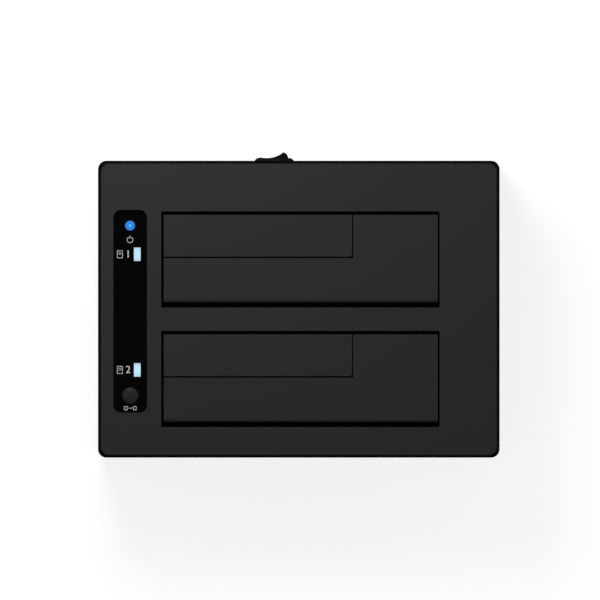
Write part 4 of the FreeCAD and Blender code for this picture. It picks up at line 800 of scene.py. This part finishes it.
    def rocker_signs(self, size):
        """The usual bar for on and ring for off, one on each half of the rocker."""
        start = Vector((0, 0, -ROCKER_MARK_SUNK * ROCKER_MARK))
        line = size.rocker_line
        signs = [(self.stroke(start, line, ROCKER_BAR, ROCKER_MARK), size.rocker_sign_step),
                 (self.ring(start, ROCKER_RING, line, ROCKER_MARK, 32), -size.rocker_sign_step)]
        pivot = joint_place("power_rocker_tilt")
        hollow = size.rocker_hollow
        top = size.rocker_tip_stand + math.sqrt(hollow ** 2 - size.rocker_tip_reach ** 2)
        for piece, across in signs:
            slope = math.asin(across / hollow)
            out = top - math.cos(slope) * hollow
            place = pivot + Matrix.Rotation(size.rocker_lean, 3, "Z") @ Vector((across, out, 0))
            turn = size.rocker_lean + slope
            axes = Matrix(((-math.cos(turn), 0, -math.sin(turn)),
                           (-math.sin(turn), 0, math.cos(turn)),
                           (0, 1, 0)))
            piece.matrix_world = Matrix.Translation(place) @ axes.to_4x4() @ piece.matrix_world
        return [piece for piece, across in signs]


# Shares of the cap's radius at which its dome has a ring of faces.
DOME_RINGS = (0.985, 0.95, 0.9, 0.8, 0.65, 0.45, 0.25, 0.1)
# Shares of the dome's height: a flat top with a steep shoulder, and an even curve for the rest.
DOME_SHOULDER = 0.42
DOME_CURVE = 0.58


class DUPLICATOR_OT_shape_button(bpy.types.Operator):
    """Shape the clone button: a domed cap on the square flange that holds it in"""

    bl_idname = "duplicator.shape_button"
    bl_label = "Shape button"

    def execute(self, context):
        size = sizes()
        low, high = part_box("clone_button")
        centre = (low + high) / 2
        radius = size.button_diameter / 2
        shoulder = high.z - size.button_dome
        foot = low.z + size.button_flange / 2
        deselect()
        bpy.ops.mesh.primitive_cylinder_add(
            vertices=64, radius=radius, depth=shoulder - foot,
            location=(centre.x, centre.y, (shoulder + foot) / 2))
        cap = bpy.context.object
        bpy.ops.object.mode_set(mode="EDIT")
        pick(cap, "FACE", lambda face: face.normal.z > 0.9)
        reach, level = radius, 0.0
        for share in DOME_RINGS:
            height = size.button_dome * (
                DOME_SHOULDER * math.sqrt(1 - share ** 6) + DOME_CURVE * (1 - share ** 2))
            bpy.ops.mesh.inset(thickness=reach - share * radius)
            bpy.ops.transform.translate(value=(0, 0, height - level))
            reach, level = share * radius, height
        bpy.ops.object.mode_set(mode="OBJECT")
        flange = block((centre.x, centre.y, low.z + size.button_flange / 2),
                       (high.x - low.x, high.y - low.y, size.button_flange))
        ease(flange, width=0.2 * MM, segments=3)
        settle(join([cap, flange]), "clone_button_cap", "button_abs", "button",
               ["clone_button"], smooth=math.radians(40))
        return {"FINISHED"}


# The flanks swell by this factor, at this share of the raised ends' stand over the pivot.
SWELL = 1.05
SWELL_LEVEL = 0.7
# A flank's corners lie farther than this from the rocker's middle.
FLANK_REACH = 3.5 * MM
# The raised ends are pushed out before they are rounded, because rounding shortens them.
END_STRETCH = 1.02


class DUPLICATOR_OT_ease_rocker(bpy.types.Operator):
    """Round the raised ends of the power rocker and ease its other edges"""

    bl_idname = "duplicator.ease_rocker"
    bl_label = "Ease rocker"

    def execute(self, context):
        rocker = copy_of_node("power_rocker")
        self.swell_flanks(rocker)
        self.round_ends(rocker)
        ease(rocker, width=0.15 * MM, segments=2)
        settle(rocker, "rocker_cap", "switch_nylon", "rocker",
               ["power_rocker"], smooth=math.radians(35))
        return {"FINISHED"}

    def swell_flanks(self, rocker):
        """Makes the flanks under the raised ends slightly round."""
        pivot = joint_place("power_rocker_tilt")
        lean = Matrix.Rotation(sizes().rocker_lean, 3, "Z")
        level = sizes().rocker_tip_stand * SWELL_LEVEL
        bpy.ops.object.mode_set(mode="EDIT")
        bpy.ops.mesh.select_mode(type="VERT")
        bpy.ops.mesh.select_all(action="SELECT")
        bpy.ops.mesh.bisect(plane_co=pivot + lean @ Vector((0, level, 0)),
                            plane_no=lean @ Vector((0, 1, 0)))

        def on_flank(vertex):
            place = lean.inverted() @ (vertex.co - pivot)
            return abs(place.y - level) < 10 * TOUCHING and abs(place.x) > FLANK_REACH

        pick(rocker, "VERT", on_flank)
        bpy.ops.transform.resize(value=(SWELL, SWELL, 1), center_override=pivot)
        bpy.ops.object.mode_set(mode="OBJECT")

    def round_ends(self, rocker):
        """Rounds the two long edges where a finger presses."""
        size = sizes()
        pivot = joint_place("power_rocker_tilt")
        reach = math.hypot(size.rocker_tip_reach, size.rocker_tip_stand) - 0.1 * MM

        def at_end(edge):
            first, second = (vertex.co - pivot for vertex in edge.verts)
            nearest = min(first.xy.length, second.xy.length)
            return nearest > reach and abs(first.z - second.z) > MM

        bpy.ops.object.mode_set(mode="EDIT")
        pick(rocker, "EDGE", at_end)
        bpy.ops.transform.resize(value=(END_STRETCH, END_STRETCH, 1), center_override=pivot)
        bpy.ops.mesh.bevel(offset=size.rocker_rounding, segments=6, affect="EDGES",
                           clamp_overlap=False)
        bpy.ops.object.mode_set(mode="OBJECT")


class DUPLICATOR_OT_turn_screws(bpy.types.Operator):
    """Turn the pan-head screws under the tray, each with a cross recess"""

    bl_idname = "duplicator.turn_screws"
    bl_label = "Turn screws"

    def execute(self, context):
        size = sizes()
        low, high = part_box("housing_screws")
        radius = size.screw_head / 2
        first = self.screw(Vector((low.x + radius, low.y + radius, low.z)), high.z - low.z, size)
        span = high - low - Vector((2 * radius, 2 * radius, 0))
        screws = [first]
        for across, deep in ((1, 0), (0, 1), (1, 1)):
            twin = copy_of(first)
            twin.location = first.location + Vector((across * span.x, deep * span.y, 0))
            screws.append(twin)
        settle(join(screws), "tray_screws", "zinc_steel", "housing",
               ["housing_screws"], smooth=math.radians(35))
        return {"FINISHED"}

    def screw(self, place, overall, size):
        """Screw that points up, from the middle of its head's underside."""
        tall = size.screw_head_height
        head = self.turned(place, size.screw_head, tall, 32)
        bpy.ops.mesh.bevel(offset=0.6 * MM, segments=4, affect="EDGES")
        bpy.ops.object.mode_set(mode="OBJECT")
        for turn in (0, math.pi / 2):
            self.cut_slot(head, place, turn, size)
        top = place + Vector((0, 0, overall))
        shank = self.turned(top, size.screw_shank, tall - overall, 16)
        bpy.ops.mesh.bevel(offset=0.8 * MM, segments=1, affect="EDGES")
        bpy.ops.object.mode_set(mode="OBJECT")
        return join([head, shank])

    def turned(self, end, diameter, rise, corners):
        """Upright cylinder from its end, down where rise is negative; its end face is selected."""
        deselect()
        bpy.ops.mesh.primitive_cylinder_add(vertices=corners, radius=diameter / 2, depth=abs(rise),
                                            location=end + Vector((0, 0, rise / 2)))
        piece = bpy.context.object
        bpy.ops.object.mode_set(mode="EDIT")
        pick(piece, "FACE", lambda face: face.normal.z * rise < -0.9 * abs(rise))
        return piece

    def cut_slot(self, head, place, turn, size):
        """Cuts one arm's slot of the cross recess into the head's underside."""
        cutter = block(place, (size.recess_length, size.recess_width, 2 * size.recess_depth), turn)
        take(head)
        recess = head.modifiers.new("recess", "BOOLEAN")
        recess.object = cutter
        recess.operation = "DIFFERENCE"
        bpy.ops.object.modifier_apply(modifier="recess")
        bpy.data.objects.remove(cutter)


# A drive socket's contacts: sides, place of the first from the socket's middle and top, and the
# start and count of the data and power rows.
CONTACT_SIDES = (0.5 * MM, 0.16 * MM, 3.6 * MM)
FIRST_CONTACT = (-15.1 * MM, 1.0 * MM, -2.6 * MM)
CONTACT_ROWS = ((0, 7), (13.1 * MM, 15))
# The inlet's contacts: sides, place of the first from the tongue's middle, and their spacing.
INLET_SIDES = (1.0 * MM, 7.4 * MM, 0.16 * MM)
FIRST_INLET = (-1.4 * MM, 0.3 * MM)
INLET_PITCH = 2.8 * MM


class DUPLICATOR_OT_fit_contacts(bpy.types.Operator):
    """Fit the gilt contacts of the drive sockets and of the rear inlet"""

    bl_idname = "duplicator.fit_contacts"
    bl_label = "Fit contacts"

    def execute(self, context):
        rear = self.socket_row("rear_drive_socket")
        front = copy_of(rear)
        front.location += middle("front_drive_socket") - middle("rear_drive_socket")
        settle(rear, "rear_socket_contacts", "brass", "housing")
        settle(front, "front_socket_contacts", "brass", "housing")
        low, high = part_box("usb_tongue")
        centre = (low + high) / 2
        across, deep = FIRST_INLET
        strips = [self.strip(Vector((centre.x + across, centre.y + deep, low.z)), INLET_SIDES)]
        for right, up in ((0, 1), (1, 0), (1, 1)):
            twin = copy_of(strips[0])
            twin.location += Vector((right * INLET_PITCH, 0, up * (high.z - low.z)))
            strips.append(twin)
        settle(join(strips), "inlet_contacts", "brass", "housing")
        return {"FINISHED"}

    def socket_row(self, node):
        """The contacts of a drive socket: seven for data and fifteen for power."""
        centre = middle(node)
        start = Vector((centre.x, centre.y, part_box(node)[1].z)) + Vector(FIRST_CONTACT)
        first = self.strip(start, CONTACT_SIDES)
        strips = []
        for start, count in CONTACT_ROWS:
            for index in range(count):
                twin = copy_of(first)
                twin.location.x += start + index * sizes().contact_pitch
                strips.append(twin)
        bpy.data.objects.remove(first)
        return join(strips)

    def strip(self, place, sides):
        """Thin strip of contact metal with eased edges."""
        piece = block(place, sides)
        ease(piece, width=0.05 * MM, segments=1)
        return piece


class DUPLICATOR_OT_wind_springs(bpy.types.Operator):
    """Wind the wire springs that shut the flaps and small doors"""

    bl_idname = "duplicator.wind_springs"
    bl_label = "Wind springs"

    def execute(self, context):
        size = sizes()
        springs = {
            "flap": self.spring("rear_flap_spring", "rear_flap_hinge", size.flap_wire,
                                size.flap_turns, -1),
            "door": self.spring("rear_door_spring", "rear_door_hinge", size.door_wire,
                                size.door_turns, 1),
        }
        bodies = {"flap": ("housing", "housing"), "door": ("rear_lid", "front_lid")}
        for kind, rear in springs.items():
            front = copy_of(rear)
            front.location += joint_place(f"front_{kind}_hinge") - joint_place(f"rear_{kind}_hinge")
            for bay, piece, body in zip(BAYS, (rear, front), bodies[kind]):
                node = f"{bay}_{kind}_spring"
                settle(piece, f"{node}_coil", "music_wire", body, [node],
                       smooth=math.radians(60))
        return {"FINISHED"}

    def spring(self, node, joint, wire, turns, side):
        """Coil about a hinge along X; its leg runs forward, over the pin at side 1, under at -1."""
        low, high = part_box(node)
        axis = joint_place(joint)
        radius = high.y - axis.y - wire / 2
        deselect()
        bpy.ops.mesh.primitive_circle_add(
            vertices=10, radius=wire / 2, rotation=(math.pi / 2, 0, 0),
            location=(low.x + wire / 2, axis.y, axis.z))
        piece = bpy.context.object
        take(piece)
        bpy.ops.object.transform_apply(location=False, rotation=True, scale=False)
        bpy.ops.object.mode_set(mode="EDIT")
        bpy.ops.mesh.select_all(action="SELECT")
        bpy.ops.transform.translate(value=(0, 0, side * radius))
        bpy.ops.object.mode_set(mode="OBJECT")
        winding = piece.modifiers.new("winding", "SCREW")
        winding.axis = "X"
        winding.angle = -side * math.tau
        winding.iterations = turns
        winding.screw_offset = (high.x - low.x - wire) / turns
        winding.steps = 24
        winding.render_steps = 24
        winding.use_merge_vertices = False
        bpy.ops.object.modifier_apply(modifier="winding")
        bpy.ops.object.mode_set(mode="EDIT")
        leg = Vector((0, low.y - axis.y, 0))
        close_end(piece, lambda vertex: vertex.co.x < 2 * wire, leg)
        close_end(piece, lambda vertex: vertex.co.x > 2 * wire)
        bpy.ops.mesh.select_all(action="SELECT")
        bpy.ops.mesh.normals_make_consistent(inside=False)
        bpy.ops.object.mode_set(mode="OBJECT")
        return piece


# Lamps: name, place and width in metres, and energy in watts.
LAMPS = (("key", (-0.1, 0.24, 0.42), 0.2, 1.3), ("fill", (0.3, -0.3, 0.7), 0.5, 0.5))
TABLE_SIDE = 6.0
# Where the table is looked at it glows, and its paint is darker to make up for that.
TABLE_GLOW = 0.8
TABLE_DARKER = -0.55
# Heights on a sphere of radius 1: the white walls end and the ceiling is at its dimmest.
WALL_TOP = 0.35
CEILING = 0.97
CEILING_SHADE = 0.03
# The studio's light, and what is added to it where it is looked at.
STUDIO_LIGHT = 0.6
STUDIO_GLOW = 0.4


class DUPLICATOR_OT_set_stage(bpy.types.Operator):
    """Lay the floor, set the studio light and the camera straight above"""

    bl_idname = "duplicator.set_stage"
    bl_label = "Set stage"

    def execute(self, context):
        self.floor()
        self.world()
        for lamp in LAMPS:
            self.lamp(*lamp)
        self.camera()
        context.scene.view_settings.view_transform = "Standard"
        return {"FINISHED"}

    def floor(self):
        """Pale table: the eye sees it almost white, with the shadow on it, and the object gets a
        plain pale bounce.
        """
        deselect()
        bpy.ops.mesh.primitive_plane_add(size=TABLE_SIDE, location=(0, 0, 0))
        table = bpy.context.object
        table.name = "floor"
        material, tree = new_material("table_top")
        looked_at = self.seen(tree, 1.0)
        lift = add_node(tree, "ShaderNodeEmission", {"Strength": self.seen(tree, TABLE_GLOW)})
        pale = colours().floor
        paint = add_node(tree, "ShaderNodeBsdfDiffuse", {
            "Color": shades(tree, looked_at, pale, lighter(pale, TABLE_DARKER))})
        close_material(tree, add_node(tree, "ShaderNodeAddShader", {0: paint, 1: lift}))
        table.data.materials.append(material)

    def seen(self, tree, strength):
        """Node that is strength for rays of the camera, of gloss and of glass, 0 for others."""
        path = add_node(tree, "ShaderNodeLightPath")
        first = add_node(tree, "ShaderNodeMath", {
            0: path.outputs["Is Camera Ray"], 1: path.outputs["Is Glossy Ray"]}, operation="ADD")
        both = add_node(tree, "ShaderNodeMath", {
            0: first, 1: path.outputs["Is Transmission Ray"]}, operation="ADD", use_clamp=True)
        return add_node(tree, "ShaderNodeMath", {0: both, 1: strength}, operation="MULTIPLY")

    def world(self):
        """White round about and dim overhead, as in a studio with a dark ceiling."""
        world = bpy.data.worlds.new("studio")
        world.use_nodes = True
        tree = world.node_tree
        tree.nodes.clear()
        place = add_node(tree, "ShaderNodeTexCoord").outputs["Generated"]
        height = add_node(tree, "ShaderNodeSeparateXYZ", {0: place})
        dim = add_node(tree, "ShaderNodeMapRange", {
            "Value": height.outputs["Z"], "From Min": WALL_TOP, "From Max": CEILING,
            "To Min": 1.0, "To Max": CEILING_SHADE}, interpolation_type="SMOOTHSTEP")
        grey = add_node(tree, "ShaderNodeCombineColor", {0: dim, 1: dim, 2: dim})
        level = add_node(tree, "ShaderNodeMath", {
            0: self.seen(tree, STUDIO_GLOW), 1: STUDIO_LIGHT}, operation="ADD")
        shade = add_node(tree, "ShaderNodeBackground", {"Color": grey, "Strength": level})
        add_node(tree, "ShaderNodeOutputWorld", {"Surface": shade})
        bpy.context.scene.world = world

    def lamp(self, name, place, width, energy):
        """Soft square lamp that faces the housing."""
        deselect()
        bpy.ops.object.light_add(type="AREA", location=place)
        lamp = bpy.context.object
        lamp.name = name
        lamp.data.size = width
        lamp.data.energy = energy
        lamp.rotation_euler = (-Vector(place)).to_track_quat("-Z", "Y").to_euler()

    def camera(self):
        """Camera straight above, without perspective."""
        size = sizes()
        deselect()
        bpy.ops.object.camera_add(
            location=(size.view_right, size.view_back, size.camera_height), rotation=(0, 0, 0))
        camera = bpy.context.object
        camera.name = "camera"
        camera.data.type = "ORTHO"
        camera.data.ortho_scale = size.view_width
        bpy.context.scene.camera = camera


OPERATORS = (
    DUPLICATOR_OT_dress_housing,
    DUPLICATOR_OT_dress_flaps,
    DUPLICATOR_OT_dress_strip,
    DUPLICATOR_OT_dress_electrics,
    DUPLICATOR_OT_print_marks,
    DUPLICATOR_OT_shape_button,
    DUPLICATOR_OT_ease_rocker,
    DUPLICATOR_OT_turn_screws,
    DUPLICATOR_OT_fit_contacts,
    DUPLICATOR_OT_wind_springs,
    DUPLICATOR_OT_set_stage,
)


class DUPLICATOR_PT_panel(bpy.types.Panel):
    """Sidebar panel with the settings and the steps in their order"""

    bl_label = "Drive Duplicator"
    bl_space_type = "VIEW_3D"
    bl_region_type = "UI"
    bl_category = "Duplicator"

    def draw(self, context):
        for group in (sizes(), colours()):
            box = self.layout.box()
            for name in group.__annotations__:
                box.prop(group, name)
        for operator in OPERATORS:
            self.layout.operator(operator.bl_idname)


CLASSES = (DuplicatorSizes, DuplicatorColours, *OPERATORS, DUPLICATOR_PT_panel)


def register():
    for entry in CLASSES:
        bpy.utils.register_class(entry)
    bpy.types.Scene.duplicator_sizes = bpy.props.PointerProperty(type=DuplicatorSizes)
    bpy.types.Scene.duplicator_colours = bpy.props.PointerProperty(type=DuplicatorColours)


def unregister():
    del bpy.types.Scene.duplicator_colours
    del bpy.types.Scene.duplicator_sizes
    for entry in reversed(CLASSES):
        bpy.utils.unregister_class(entry)


def main():
    """Registers the settings and steps, and runs every step."""
    register()
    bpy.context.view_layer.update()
    for operator in OPERATORS:
        group, step = operator.bl_idname.split(".")
        getattr(getattr(bpy.ops, group), step)()


if __name__ == "__main__":
    main()
